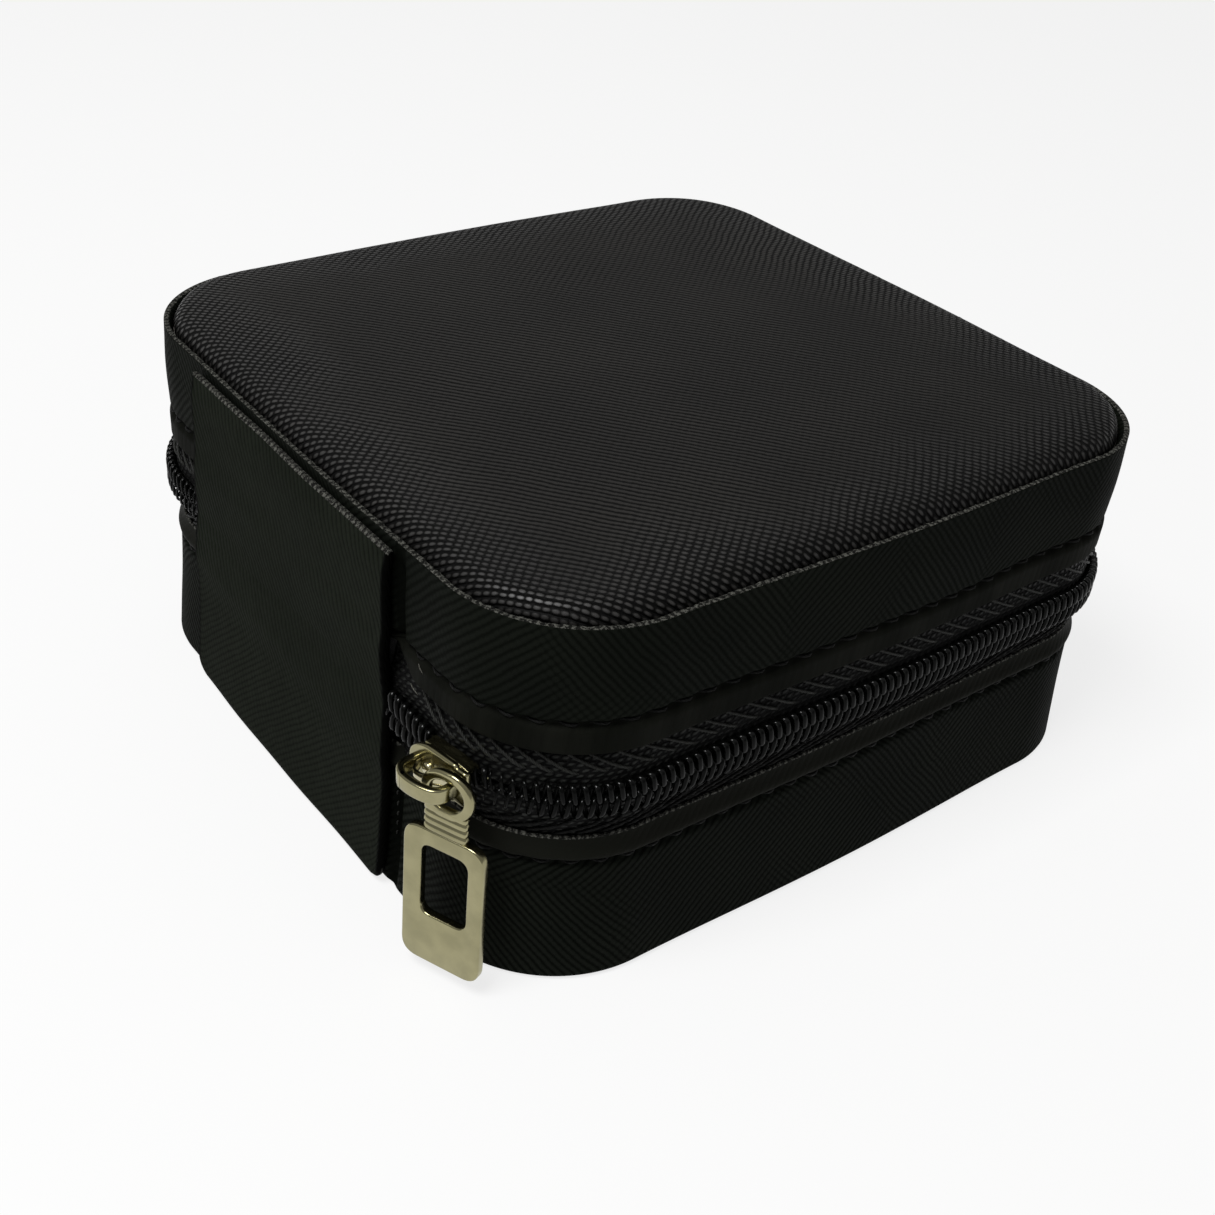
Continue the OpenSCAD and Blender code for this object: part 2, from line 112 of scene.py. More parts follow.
CORNER_X = HALF_W - CORNER_R
CORNER_Y = HALF_D - CORNER_R
QUARTER = 0.5 * math.pi * CORNER_R
STRETCHES = [CORNER_X, QUARTER, 2 * CORNER_Y, QUARTER, 2 * CORNER_X,
             QUARTER, 2 * CORNER_Y, QUARTER, CORNER_X]
KNOTS = np.concatenate([[0.0], np.cumsum(STRETCHES)])
ROUND = KNOTS[-1]
TURNS = np.radians([90, 90, 180, 180, 270, 270, 360, 360, 450, 450])
MIDDLES_X = CORNER_X * np.array([0, -1, -1, -1, -1, 1, 1, 1, 1, 0])
MIDDLES_Y = CORNER_Y * np.array([1, 1, 1, -1, -1, -1, -1, 1, 1, 1])


def outline(s):
    """Middle of curvature and outward angle at the length s, which starts behind the middle of the
    back and runs first to the slider's corner. Both are straight lines between the corners' ends."""
    s = np.mod(s, ROUND)
    return np.interp(s, KNOTS, MIDDLES_X), np.interp(s, KNOTS, MIDDLES_Y), np.interp(s, KNOTS, TURNS)


def bow(s):
    """Outward swell of the straight sides: (1 - t squared) squared from one corner to the next."""
    x, y, _ = outline(s)
    ends = np.square(1 - np.square(x / CORNER_X))
    sides = np.square(1 - np.square(y / CORNER_Y))
    return END_BOW * ends + SIDE_BOW * sides


def beside(s, n, z):
    """Points at the length s, n outside the bowed outline and at the height z."""
    x, y, angle = outline(s)
    out = CORNER_R + n + bow(s)
    return points_of(x + out * np.cos(angle), y + out * np.sin(angle), z)


def outward(s):
    """Unit vectors that point out of the case at the length s."""
    angle = outline(s)[2]
    return np.stack([np.cos(angle), np.sin(angle), 0 * angle], -1)


def length_at(angle):
    """Length s at which the slider's corner has the given outward angle."""
    return KNOTS[1] + math.radians(angle - 90) * CORNER_R


def rounds(spacing):
    """Even lengths all the way round."""
    count = int(round(ROUND / spacing))
    return np.arange(count) * (ROUND / count)


def unit(vectors):
    """The same directions, one long."""
    return vectors / np.linalg.norm(vectors, axis=-1, keepdims=True)


def points_of(x, y, z):
    """One array of points from three that fit each other."""
    return np.stack(np.broadcast_arrays(x, y, z), -1)


def circle(count):
    """Even angles round a circle."""
    return np.linspace(0, 2 * np.pi, count, endpoint=False)


def round_off(x, radius, least=0.0):
    """Quarter circle from 0 at x = 0 to 1 at the radius: sqrt(1 - (1 - x / radius) squared)."""
    return np.sqrt(np.clip(1 - np.square(np.clip(1 - x / radius, 0, 1)), least, 1))


def squared(angle, power):
    """Reach of a rounded square: (|cos| to the power + |sin| to the power) to the -1 / power."""
    return (np.abs(np.cos(angle)) ** power + np.abs(np.sin(angle)) ** power) ** (-1 / power)


def ease(low, high, x):
    """Smooth step: 3 t squared - 2 t cubed between low and high."""
    t = np.clip((x - low) / (high - low), 0, 1)
    return t * t * (3 - 2 * t)


def hump(x, middle, width):
    """Bell of height 1: exp(-((x - middle) / width) squared)."""
    return np.exp(-np.square((x - middle) / width))


def ripple(x, seed, *waves):
    """Sum of sines whose phases come from the seed; each wave is its length and its height."""
    phases = np.random.default_rng(seed).uniform(0, 2 * np.pi, len(waves))
    return sum(h * np.sin(2 * np.pi * x / w + p) for (w, h), p in zip(waves, phases))


def way_round(*lengths):
    """Waves whose lengths fit whole times round the case."""
    return [(ROUND / max(1, round(ROUND / length)), height) for length, height in lengths]


# ---------------------------------------------------------------- meshes

Patch = namedtuple("Patch", "points faces marks finish")


def running(points, closed):
    """Length along the middle row of a grid, from its first column."""
    if closed:
        points = np.concatenate([points, points[:1]])
    steps = np.linalg.norm(np.diff(points, axis=0), axis=-1)
    return np.concatenate([[0.0], np.cumsum(steps)])


def grid(points, round_u=False, round_v=False, u=None, v=None, finish=0, flip=False):
    """Quads between neighbouring points[u, v], or [copy, u, v]; a round direction joins its two ends.
    Marks are lengths along u and v, so that a pattern keeps its scale on the surface."""
    points = np.asarray(points, float)
    copies = points if points.ndim == 4 else points[None]
    many, nu, nv = copies.shape[:3]
    u = running(copies[0, :, nv // 2], round_u) if u is None else np.asarray(u, float)
    v = running(copies[0, nu // 2], round_v) if v is None else np.asarray(v, float)
    au, av = np.meshgrid(np.arange(len(u) - 1), np.arange(len(v) - 1), indexing="ij")
    corners = [(au, av), (au + 1, av), (au + 1, av + 1), (au, av + 1)]
    if flip:
        corners.reverse()
    faces = np.stack([(a % nu) * nv + b % nv for a, b in corners], -1).reshape(-1, 4)
    marks = np.stack([np.stack([u[a], v[b]], -1) for a, b in corners], -2).reshape(-1, 4, 2)
    finishes = np.broadcast_to(finish, au.shape).reshape(-1)
    shift = (np.arange(many) * nu * nv)[:, None, None]
    return Patch(copies.reshape(-1, 3), (faces[None] + shift).reshape(-1, 4),
                 np.tile(marks, (many, 1, 1)), np.tile(finishes, many))


def turned_out(patch):
    """A closed patch with its faces outward: if the sum of a . (b x c) over them, which is six times
    its volume, is negative, their corners are taken in the other order."""
    a, b, c, d = (patch.points[patch.faces[:, i]] for i in range(4))
    if np.sum(a * np.cross(b, c)) + np.sum(a * np.cross(c, d)) < 0:
        return patch._replace(faces=patch.faces[:, ::-1], marks=patch.marks[:, ::-1])
    return patch


def build(name, patches, finishes, body, stands_for=(), sharp=None):
    """One object from several patches, welded where their points meet, riding on a body."""
    starts = np.cumsum([0] + [len(p.points) for p in patches[:-1]])
    points = np.concatenate([p.points for p in patches]) * MM
    faces = np.concatenate([p.faces + start for p, start in zip(patches, starts)])
    marks = np.concatenate([p.marks for p in patches])
    kinds = np.concatenate([p.finish for p in patches])
    mesh = bpy.data.meshes.new(name)
    mesh.vertices.add(len(points))
    mesh.vertices.foreach_set("co", points.astype(np.float32).ravel())
    mesh.loops.add(faces.size)
    mesh.loops.foreach_set("vertex_index", faces.astype(np.int32).ravel())
    mesh.polygons.add(len(faces))
    mesh.polygons.foreach_set("loop_start", np.arange(0, faces.size, 4, dtype=np.int32))
    mesh.polygons.foreach_set("material_index", kinds.astype(np.int32))
    mesh.polygons.foreach_set("use_smooth", np.ones(len(faces), bool))
    mesh.uv_layers.new(name="marks").data.foreach_set("uv", marks.astype(np.float32).ravel())
    mesh.update(calc_edges=True)
    soldered = bmesh.new()
    soldered.from_mesh(mesh)
    bmesh.ops.remove_doubles(soldered, verts=soldered.verts, dist=2e-7)
    soldered.to_mesh(mesh)
    soldered.free()
    for finish in finishes:
        mesh.materials.append(finish.material)
    if sharp:
        mesh.set_sharp_from_angle(angle=math.radians(sharp))
    piece = bpy.data.objects.new(name, mesh)
    bpy.context.scene.collection.objects.link(piece)
    if body:
        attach(piece, body)
    if stands_for:
        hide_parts(*stands_for)
    return piece


def soften(corners, radii, bits=5, closed=True):
    """Outline whose corners are curves: (1 - t) squared a + 2 t (1 - t) corner + t squared b, where
    a and b lie one radius before and after the corner."""
    corners = np.array(corners, float)
    before = np.roll(corners, 1, 0) - corners
    after = np.roll(corners, -1, 0) - corners
    radii = np.broadcast_to(radii, len(corners))[:, None]
    a = corners + radii * unit(before)
    b = corners + radii * unit(after)
    if not closed:
        a[[0, -1]] = b[[0, -1]] = corners[[0, -1]]
    t = np.linspace(0, 1, bits)[None, :, None]
    curved = (1 - t) ** 2 * a[:, None] + 2 * t * (1 - t) * corners[:, None] + t ** 2 * b[:, None]
    return curved.reshape(-1, 2)


def read_off(at, length, values):
    """Each column of the values, read at some places along the length."""
    return np.stack([np.interp(at, length, column) for column in values.T], -1)


def evenly(path, spacing):
    """Points at an even spacing along an open line, by its running length."""
    length = running(path, False)
    keep = np.concatenate([[True], np.diff(length) > 1e-9])
    at = np.linspace(0, length[-1], max(2, int(round(length[-1] / spacing)) + 1))
    return read_off(at, length[keep], path[keep])


def sideways(path):
    """Unit vectors to the left of an open line in a plane."""
    along = np.gradient(path, axis=0)
    return unit(np.stack([-along[:, 1], along[:, 0]], -1))


def tube(path, out, radius, sides=6, lobes=0, turns=0.0, wide=1.0, **marks):
    """Rings round a line: path + radius (cos a out + sin a across), where across is the line's own
    direction crossed with out, and the ends draw in. Lobes that turn with the line make a twisted
    thread of it."""
    along = np.gradient(path, axis=-2)
    across = unit(np.cross(along, out))
    out = unit(np.cross(across, along))
    around = circle(sides)
    down = np.linspace(0, 1, path.shape[-2])[:, None]
    lobed = 1 + 0.22 * np.cos(lobes * around + 2 * np.pi * turns * down) * (lobes > 0)
    width = radius * lobed * np.sqrt(np.clip(1 - np.abs(2 * down - 1) ** 12, 0, 1))
    ring = np.cos(around)[:, None] * out[..., None, :] - wide * np.sin(around)[:, None] * across[..., None, :]
    return turned_out(grid(path[..., None, :] + width[..., None] * ring, round_v=True, **marks))


def loop_solid(rings, **marks):
    """A closed skin through rings[u, v] of which the first and last are drawn in to their middles."""
    first = np.broadcast_to(rings[:1].mean(1, keepdims=True), rings[:1].shape)
    last = np.broadcast_to(rings[-1:].mean(1, keepdims=True), rings[-1:].shape)
    return turned_out(grid(np.concatenate([first, rings, last]), round_v=True, **marks))


# ---------------------------------------------------------------- finishes

class Value:
    """A number that a node gives. Arithmetic on it adds Math nodes to the same finish."""

    def __init__(self, finish, socket):
        self.finish = finish
        self.socket = socket

    def math(self, operation, *values):
        return self.finish.node("ShaderNodeMath", {"operation": operation}, dict(enumerate(values)))

    def __add__(self, other):
        return self.math("ADD", self, other)

    def __sub__(self, other):
        return self.math("SUBTRACT", self, other)

    def __rsub__(self, other):
        return self.math("SUBTRACT", other, self)

    def __mul__(self, other):
        return self.math("MULTIPLY", self, other)

    def __truediv__(self, other):
        return self.math("DIVIDE", self, other)

    __radd__ = __add__
    __rmul__ = __mul__

    def sine(self):
        return self.math("SINE", self)

    def size(self):
        return self.math("ABSOLUTE", self)

    def floor(self):
        return self.math("FLOOR", self)

    def larger(self, other):
        return self.math("MAXIMUM", self, other)

    def smaller(self, other):
        return self.math("MINIMUM", self, other)

    def ease(self, low, high):
        """Smooth step from 0 at low to 1 at high."""
        return self.finish.node("ShaderNodeMapRange", {"interpolation_type": "SMOOTHSTEP"},
                                {"Value": self, "From Min": low, "From Max": high})


class Finish:
    """One material: a Principled shader with constant settings, and nodes for what varies."""

    def __init__(self, name, **settings):
        self.material = bpy.data.materials.new(name)
        self.material.use_nodes = True
        self.tree = self.material.node_tree
        self.tree.nodes.clear()
        self.shader = self.tree.nodes.new("ShaderNodeBsdfPrincipled")
        self.end = self.tree.nodes.new("ShaderNodeOutputMaterial")
        self.tree.links.new(self.shader.outputs[0], self.end.inputs["Surface"])
        for key, value in settings.items():
            self.shader.inputs[key.replace("_", " ")].default_value = value

    def node(self, kind, settings=(), inputs=(), output=0):
        """Any node: its type, its settings, and the values or links of its sockets."""
        made = self.tree.nodes.new(kind)
        for key, value in dict(settings).items():
            setattr(made, key, value)
        for key, value in dict(inputs).items():
            if isinstance(value, Value):
                self.tree.links.new(value.socket, made.inputs[key])
            else:
                made.inputs[key].default_value = value
        return Value(self, made.outputs[output])

    def feed(self, name, value):
        self.tree.links.new(value.socket, self.shader.inputs[name])

    def show(self, value):
        """Shows a shader other than the Principled one by itself."""
        self.tree.links.new(value.socket, self.end.inputs["Surface"])

    def blend(self, share, a, b):
        """Colour that goes from a to b with the share."""
        a, b = [c if isinstance(c, Value) else (*c, 1) for c in (a, b)]
        return self.node("ShaderNodeMix", {"data_type": "RGBA"}, {0: share, 6: a, 7: b}, 2)

    def marks(self):
        """Lengths over the surface in millimetres: the vector, and its two numbers."""
        vector = self.node("ShaderNodeUVMap", {"uv_map": "marks"})
        return vector, *[self.node("ShaderNodeSeparateXYZ", (), {0: vector}, i) for i in (0, 1)]

    def place(self):
        """Place in the object in millimetres: the vector, and its three numbers."""
        point = self.node("ShaderNodeTexCoord", output="Object")
        vector = self.node("ShaderNodeVectorMath", {"operation": "SCALE"}, {0: point, "Scale": 1 / MM})
        return vector, *[self.node("ShaderNodeSeparateXYZ", (), {0: vector}, i) for i in (0, 1, 2)]

    def noise(self, vector, size, detail=2.0, rough=0.5, swirl=0.0):
        """Cloudy value round 0.5 with patches of the given size in millimetres."""
        return self.node("ShaderNodeTexNoise", (), {"Vector": vector, "Scale": 1 / size, "Detail": detail,
                                                   "Roughness": rough, "Distortion": swirl})

    def wear(self, colour, rough, height, depth):
        """Gives the shader its colour and roughness, and raises it by the height, 0 to 1, times the
        depth."""
        self.feed("Base Color", colour)
        self.feed("Roughness", rough)
        self.feed("Normal", self.node("ShaderNodeBump", (), {"Height": height, "Distance": depth * MM}))
        return self


def ribs(across, along, angle, pitch, wander):
    """Rounded ridges side by side: the size of sin(pi t), where t counts ridges across the angle."""
    turn = math.radians(angle)
    t = across * (math.cos(turn) / pitch) + along * (math.sin(turn) / pitch) + wander
    return (t * math.pi).sine().size()


def rib_pair(finish, vector, across, along, angles, pitches):
    """Two crossing families of rounded ribs, each from 0 in its valleys to 1 on its ridges. They
    wander slowly from true, and tremble a little."""
    wander = finish.noise(vector, 9.0, 1.0) - 0.5
    tremble = (finish.noise(vector, 1.5, 1.0) - 0.5) * 0.3
    first = ribs(across, along, angles[0], pitches[0], wander + tremble)
    second = ribs(across, along, angles[1], pitches[1], tremble - wander)
    return first, second


BAND_ANGLES = (133.0, 40.0)
BAND_PITCHES = (0.9, 0.8)
# Grain colours: the valley colours are painted shade in the grain's hollows, and the ridge colours are
# painted sheen on its ridges.
BAND_VALLEY_SHADE = (0.0022, 0.0028, 0.0019)
BAND_RIDGE_SHEEN = (0.0084, 0.0099, 0.0074)
LID_ANGLES = (-49.5, 41.0)
LID_PITCHES = (0.82, 0.98)
# Lid grain colours: painted shade, nearly black, in the hollows, and painted sheen on the ridges.
LID_VALLEY_SHADE = (0.0008, 0.0008, 0.0007)
LID_RIDGE_SHEEN = (0.0205, 0.0191, 0.0172)
SPINE_MARK = 100.0
SPINE_MARK_SPAN = 50.0


def side_leather():
    """Bands: one family of ribs stands proud in some places and the other family in others."""
    finish = Finish("side_leather", Specular_IOR_Level=0.015)
    vector, s, z = finish.marks()
    first, second = rib_pair(finish, vector, s, z, BAND_ANGLES, BAND_PITCHES)
    which = finish.noise(vector, 30.0, 1.0).ease(0.44, 0.56)
    height = first * (0.9 - which * 0.75) + second * (0.15 + which * 0.75)
    height = height + (finish.noise(vector, 0.17, 2.0) - 0.5) * 0.45
    tone = finish.noise(vector, 19.0, 3.0).ease(0.3, 0.7)
    ridge = finish.blend(tone, BAND_RIDGE_SHEEN, (0.0056, 0.0067, 0.0053))
    calm = z.ease(24.0, 34.0) * 0.35
    # shade is the share of the ridge colour: painted shade in the ribs' valleys and painted sheen on their
    # ridges, evened out toward the zip.
    shade = height.ease(0.2, 1.05) * (1 - calm) + calm * 0.5
    # Painted shadow: a strip about 2.5 mm wide along the spine's near edge is painted toward black, darkest
    # just past the edge, as the shade in the gap beside the strap.
    beside_spine = (s - SPINE_HALF - 0.7).size()
    shade = shade * beside_spine.ease(0.7, 1.3) - beside_spine.ease(1.2, 0.6) * 0.4
    rough = 0.7 - height.ease(0.5, 1.1) * 0.14
    return finish.wear(finish.blend(shade, BAND_VALLEY_SHADE, ridge), rough, height * (1 - calm), 0.1)


def lid_leather():
    """Lid cover: long fine ripples in the middle, which break into short shining dashes near its
    edges and lie closer together where the cover turns down."""
    finish = Finish("lid_leather", Specular_IOR_Level=0.1, Coat_Roughness=0.47, Coat_IOR=1.58)
    vector, x, y, z = finish.place()
    edge = (x.size() / HALF_W).larger(y.size() / HALF_D)
    patchy = finish.noise(vector, 17.0, 1.0) * 0.3 - 0.15
    dotted = (edge + patchy).ease(0.7, 0.96)
    away = (x - y) / (HALF_W + HALF_D)
    packed = (z - RIM) * away * 0.7
    first, second = rib_pair(finish, vector, x - packed * 0.65, y + packed * 0.76, LID_ANGLES, LID_PITCHES)
    which = (finish.noise(vector, 36.0, 1.0) * 0.6 + away * 0.5).ease(0.3, 0.75)
    long = first * (1.0 - which * 0.8) + second * (0.1 + which * 0.8)
    dots = first * (second * 0.52 + 0.48) * 1.02
    scratches = finish.noise(vector, 0.5, 3.0, 0.7) - 0.5
    height = long * (1 - dotted) + dots * dotted + scratches * (0.55 - dotted * 0.25)
    tone = finish.noise(vector, 24.0, 3.0).ease(0.3, 0.7)
    ridge = finish.blend(tone, LID_RIDGE_SHEEN, (0.0148, 0.0139, 0.0129))
    # Painted shade: the ridges' colour is lowered by up to about 30 % over the half of the cover toward -X
    # and -Y, where less light falls.
    aside = (x + y) / (HALF_W + HALF_D)
    pale = height.ease(0.43, 0.99) * (aside.smaller(0.0) * 0.3 + 1.03)
    finish.feed("Coat Weight", height.ease(0.55, 1.0) * (0.16 + dotted * 0.84) * (aside * 0.4 + 0.95))
    rough = 0.62 - height.ease(0.4, 1.0) * 0.16
    # The colour is painted shade in the hollows and painted sheen on the ridges.
    return finish.wear(finish.blend(pale, LID_VALLEY_SHADE, ridge), rough, height * (0.4 + dotted * 0.6), 0.2)


def spine_leather():
    """Spine: worn almost smooth, with faint steep streaks above and faint level ones below, painted darker in
    the hollows of its grain, and painted near black at its two sides as the shade where it turns into the
    gaps. Its first mark runs from SPINE_MARK over SPINE_MARK_SPAN."""
    finish = Finish("spine_leather", Specular_IOR_Level=0.015)
    vector, s, z = finish.marks()
    first, second = rib_pair(finish, vector, s, z, (133.0, 27.0), (0.78, 0.92))
    low = (z + finish.noise(vector, 13.0, 2.0) * 14.0).ease(30.0, 19.0)
    height = second * (0.75 - low * 0.55) + first * (0.1 + low * 0.5)
    mottle = finish.noise(vector, 2.1, 4.0, 0.62)
    height = height + (mottle - 0.5) * 0.7 + (finish.noise(vector, 0.18, 2.0) - 0.5) * 0.3
    tone = finish.noise(vector, 15.0, 3.0).ease(0.3, 0.7)
    light = finish.blend(tone, (0.0122, 0.0146, 0.0103), (0.0099, 0.012, 0.0083))
    # Painted shade: the outermost millimetre of each side of the strap is painted near black, as the shade
    # where it turns into the gaps.
    side = (s - SPINE_MARK - 0.5 * SPINE_MARK_SPAN).size().ease(24.1, 24.7)
    shade = height.ease(-0.2, 0.9) * (1 - side) - side * 0.6
    front = finish.blend(shade, (0.0042, 0.0051, 0.0036), light)
    colour = finish.blend(side, front, (0.0007, 0.0008, 0.0006))
    return finish.wear(colour, 0.78 - height * 0.08, height, 0.1)


def hem_leather():
    """Turned hems: the same leather pressed almost smooth, with painted shade in the hollows of its grain,
    rubbed paler along the fold, and paler all over below 30 mm, on the base's hem.
    """
    finish = Finish("hem_leather", Specular_IOR_Level=0.02)
    vector, s, z = finish.marks()
    first, _ = rib_pair(finish, vector, s, z, BAND_ANGLES, BAND_PITCHES)
    height = first * 0.3 + finish.noise(vector, 0.32, 3.0) * 0.6
    # rubbed holds patches of wear and also a plain lift of the colour below 30 mm, which makes the whole of
    # the base's hem paler.
    rubbed = finish.noise(vector, 5.0, 3.0).ease(0.35, 0.7) + z.ease(30.0, 24.0) * 1.3
    colour = finish.blend(rubbed * 0.6 + height * 0.4, (0.0036, 0.004, 0.003), (0.0082, 0.0086, 0.0066))
    return finish.wear(colour, 0.68 - rubbed * 0.08, height, 0.08)


def cut_edge():
    """Raw cut edges: pale broken fibres, bunched like beads, over a dark core."""
    finish = Finish("cut_edge", Specular_IOR_Level=0.15)
    vector, s, _ = finish.marks()
    fibres = finish.noise(vector, 0.3, 3.0, 0.65)
    bunch = (s * (math.pi / 0.95) + (finish.noise(vector, 2.0) - 0.5) * 4.0).sine().size()
    fleck = (fibres * 0.85 + bunch * 0.15).ease(0.48, 0.64)
    colour = finish.blend(fleck, (0.005, 0.005, 0.004), (0.115, 0.115, 0.1))
    return finish.wear(colour, 0.85 - fleck * 0.15, fibres + bunch * 0.15, 0.35)


def flat_leather():
    """Leather on small fittings and under the case, patterned by place."""
    finish = Finish("flat_leather", Specular_IOR_Level=0.06)
    vector, x, y, _ = finish.place()
    first, second = rib_pair(finish, vector, x, y, BAND_ANGLES, BAND_PITCHES)
    height = first * 0.7 + second * 0.3 + (finish.noise(vector, 0.17, 2.0) - 0.5) * 0.3
    # Painted shade in the grain's valleys and painted sheen on its ridges.
    colour = finish.blend(height.ease(0.2, 1.0), BAND_VALLEY_SHADE, (0.0105, 0.0112, 0.0092))
    return finish.wear(colour, 0.66 - height * 0.12, height, 0.12)


def woven_tape():
    """Zip tape: rows of short slanting floats that run with the zip."""
    finish = Finish("woven_tape", Specular_IOR_Level=0.13)
    vector, s, v = finish.marks()
    row = (v / TAPE_ROW).floor()
    within = v / TAPE_ROW - row
    float_place = s / FLOAT_LENGTH + row * 0.5 + within * 0.45 + (finish.noise(vector, 1.1) - 0.5) * 0.5
    floats = (float_place * math.pi).sine().size() * (within * math.pi).sine().size()
    height = floats + finish.noise(vector, 0.12, 2.0) * 0.2
    # Painted sheen: the yarn is painted paler within about 30 mm of the slider's corner, where the weave
    # catches the light. worn holds both this painted sheen and patches of wear.
    corner = (s - (KNOTS[1] + KNOTS[2]) / 2).size().ease(30.0, 13.0)
    worn = finish.noise(vector, 4.0, 2.0).ease(0.35, 0.7) * 0.3 + corner
    yarn = finish.blend(worn, (0.002, 0.0023, 0.002), (0.02, 0.0212, 0.0192))
    colour = finish.blend(height.ease(0.5, 1.0), (0.0004, 0.0004, 0.0004), yarn)
    return finish.wear(colour, 0.75 - height.ease(0.4, 1.0) * 0.42, height, 0.2)


def nylon():
    """Coil wire: smooth and dark, polished by the slider where each loop turns at its top. One turn of
    a loop is one unit of the first mark."""
    finish = Finish("nylon", Specular_IOR_Level=0.06, Coat_Roughness=0.16)
    vector, turn, _ = finish.marks()
    top = (turn * (-2 * math.pi)).sine()
    streak = finish.noise(vector, 0.7, 2.0)
    # Painted shade: each turn of wire is painted darker on its half away from the polished cap.
    shaded_side = (top * -1).ease(0.1, 0.9)
    finish.feed("Coat Weight", (top + streak * 0.2).ease(0.8, 1.12) * 0.5)
    colour = finish.blend(streak - shaded_side * 0.6, (0.0009, 0.001, 0.001), (0.0036, 0.0038, 0.0034))
    return finish.wear(colour, 0.12 + streak * 0.1, streak, 0.01)


def thread(name, dark, light, rough):
    """Sewing thread: plies that catch the light as they twist."""
    finish = Finish(name, Specular_IOR_Level=0.12)
    vector, along, around = finish.marks()
    ply = ((along * 2.2 + around * 3.0) * math.pi).sine().size()
    tone = ply * 0.7 + finish.noise(vector, 0.3, 2.0) * 0.3
    return finish.wear(finish.blend(tone, dark, light), rough - ply * 0.15, ply, 0.05)


def plated(name, colour, rough, depth):
    """Champagne nickel plate: a soft polish with faint clouds and rubbed hairlines."""
    finish = Finish(name, Metallic=1.0)
    vector, *_ = finish.place()
    cloud = finish.noise(vector, 3.2, 3.0)
    fine = finish.noise(vector, 0.25, 2.0)
    darker = tuple(0.82 * c for c in colour)
    shine = rough + (cloud - 0.5) * 0.16 + (fine - 0.5) * 0.06
    mixed = finish.blend(cloud.ease(0.3, 0.7), colour, darker)
    return finish.wear(mixed, shine, cloud * 0.8 + fine * 0.2, depth)


def velvet(name, pile, shade):
    """Short-pile velvet: brushed light and dark patches over a fine nap."""
    finish = Finish(name, Specular_IOR_Level=0.05, Sheen_Weight=0.35, Sheen_Roughness=0.4)
    vector, *_ = finish.place()
    brushed = finish.noise(vector, 15.0, 2.0, 0.5, 0.4)
    nap = finish.noise(vector, 0.2, 2.0, 0.7)
    tone = brushed.ease(0.25, 0.75) * 0.5 + nap * 0.5
    colour = finish.blend(tone, shade, pile)
    return finish.wear(colour, 0.92 - brushed * 0.12, nap * 0.7 + brushed * 0.3, 0.12)


def pulp_board():
    """Grey board inside the walls."""
    finish = Finish("pulp_board", Specular_IOR_Level=0.1)
    vector, *_ = finish.place()
    fibres = finish.noise(vector, 0.6, 4.0, 0.6)
    colour = finish.blend(fibres.ease(0.35, 0.65), (0.16, 0.15, 0.135), (0.24, 0.225, 0.2))
    return finish.wear(colour, 0.9 - fibres * 0.1, fibres, 0.08)


def soft_foam():
    """Foam under the lid's cover."""
    finish = Finish("soft_foam", Specular_IOR_Level=0.05)
    vector, *_ = finish.place()
    cells = finish.node("ShaderNodeTexVoronoi", (), {"Vector": vector, "Scale": 2.0})
    colour = finish.blend(cells, (0.16, 0.16, 0.16), (0.24, 0.24, 0.235))
    return finish.wear(colour, 0.95 - cells * 0.1, cells, 0.2)


SIDE, LID, SPINE, HEM, EDGE = side_leather(), lid_leather(), spine_leather(), hem_leather(), cut_edge()
FLAT, TAPE, COIL = flat_leather(), woven_tape(), nylon()
BLACK_THREAD = thread("black_thread", (0.0006, 0.0006, 0.0006), (0.0042, 0.0044, 0.0038), 0.7)
WORN_THREAD = thread("worn_thread", (0.002, 0.002, 0.002), (0.026, 0.027, 0.024), 0.5)
LOOSE_THREAD = thread("loose_thread", (0.02, 0.02, 0.018), (0.15, 0.147, 0.125), 0.45)
NICKEL = plated("nickel", (0.345, 0.32, 0.185), 0.2, 0.004)
BRIGHT = plated("bright_nickel", (0.5, 0.46, 0.31), 0.12, 0.002)
VELVET = velvet("velvet", (0.028, 0.028, 0.031), (0.008, 0.008, 0.009))
ROLL_VELVET = velvet("roll_velvet", (0.036, 0.036, 0.04), (0.011, 0.011, 0.0125))
BOARD, FOAM = pulp_board(), soft_foam()

# ---------------------------------------------------------------- leather bands

BAND_STEP = 0.55
BAND_FINE = 0.3
BAND_INNER = 1.6


def pucker(s):
    """Thread tension: each stitch draws the groove in at its own two holes."""
    pitch = ROUND / round(ROUND / STITCH_PITCH)
    return 0.72 + 0.28 * np.cos(2 * np.pi * s / pitch) + ripple(s, 3, *way_round((23, 0.1), (61, 0.08)))


def base_seam(s):
    """Height of the base's stitch line."""
    return BASE_STITCH_Z + ripple(s, 5, *way_round((31, 0.08), (83, 0.1)))


def lid_seam(s):
    """Height of the lid's stitch line."""
    return LID_STITCH_Z + ripple(s, 11, *way_round((29, 0.1), (77, 0.12)))


def base_face(s, z):
    """Outer face of the base band: flared foot, stitched groove, puffed hem that leans in."""
    flare = BASE_FLARE * np.clip(1 - z / 17.0, 0, 1) ** 1.3
    seam = base_seam(s)
    groove = 0.95 * hump(z, seam, 0.5) * pucker(s)
    hem = 0.3 * hump(z, seam + 1.15, 0.75) - 0.5 * ease(BASE_TOP - 2.4, BASE_TOP, z)
    wave = ripple(s, 7, *way_round((47, 0.06), (118, 0.08))) * ease(4, 12, z)
    return flare - groove + hem + wave


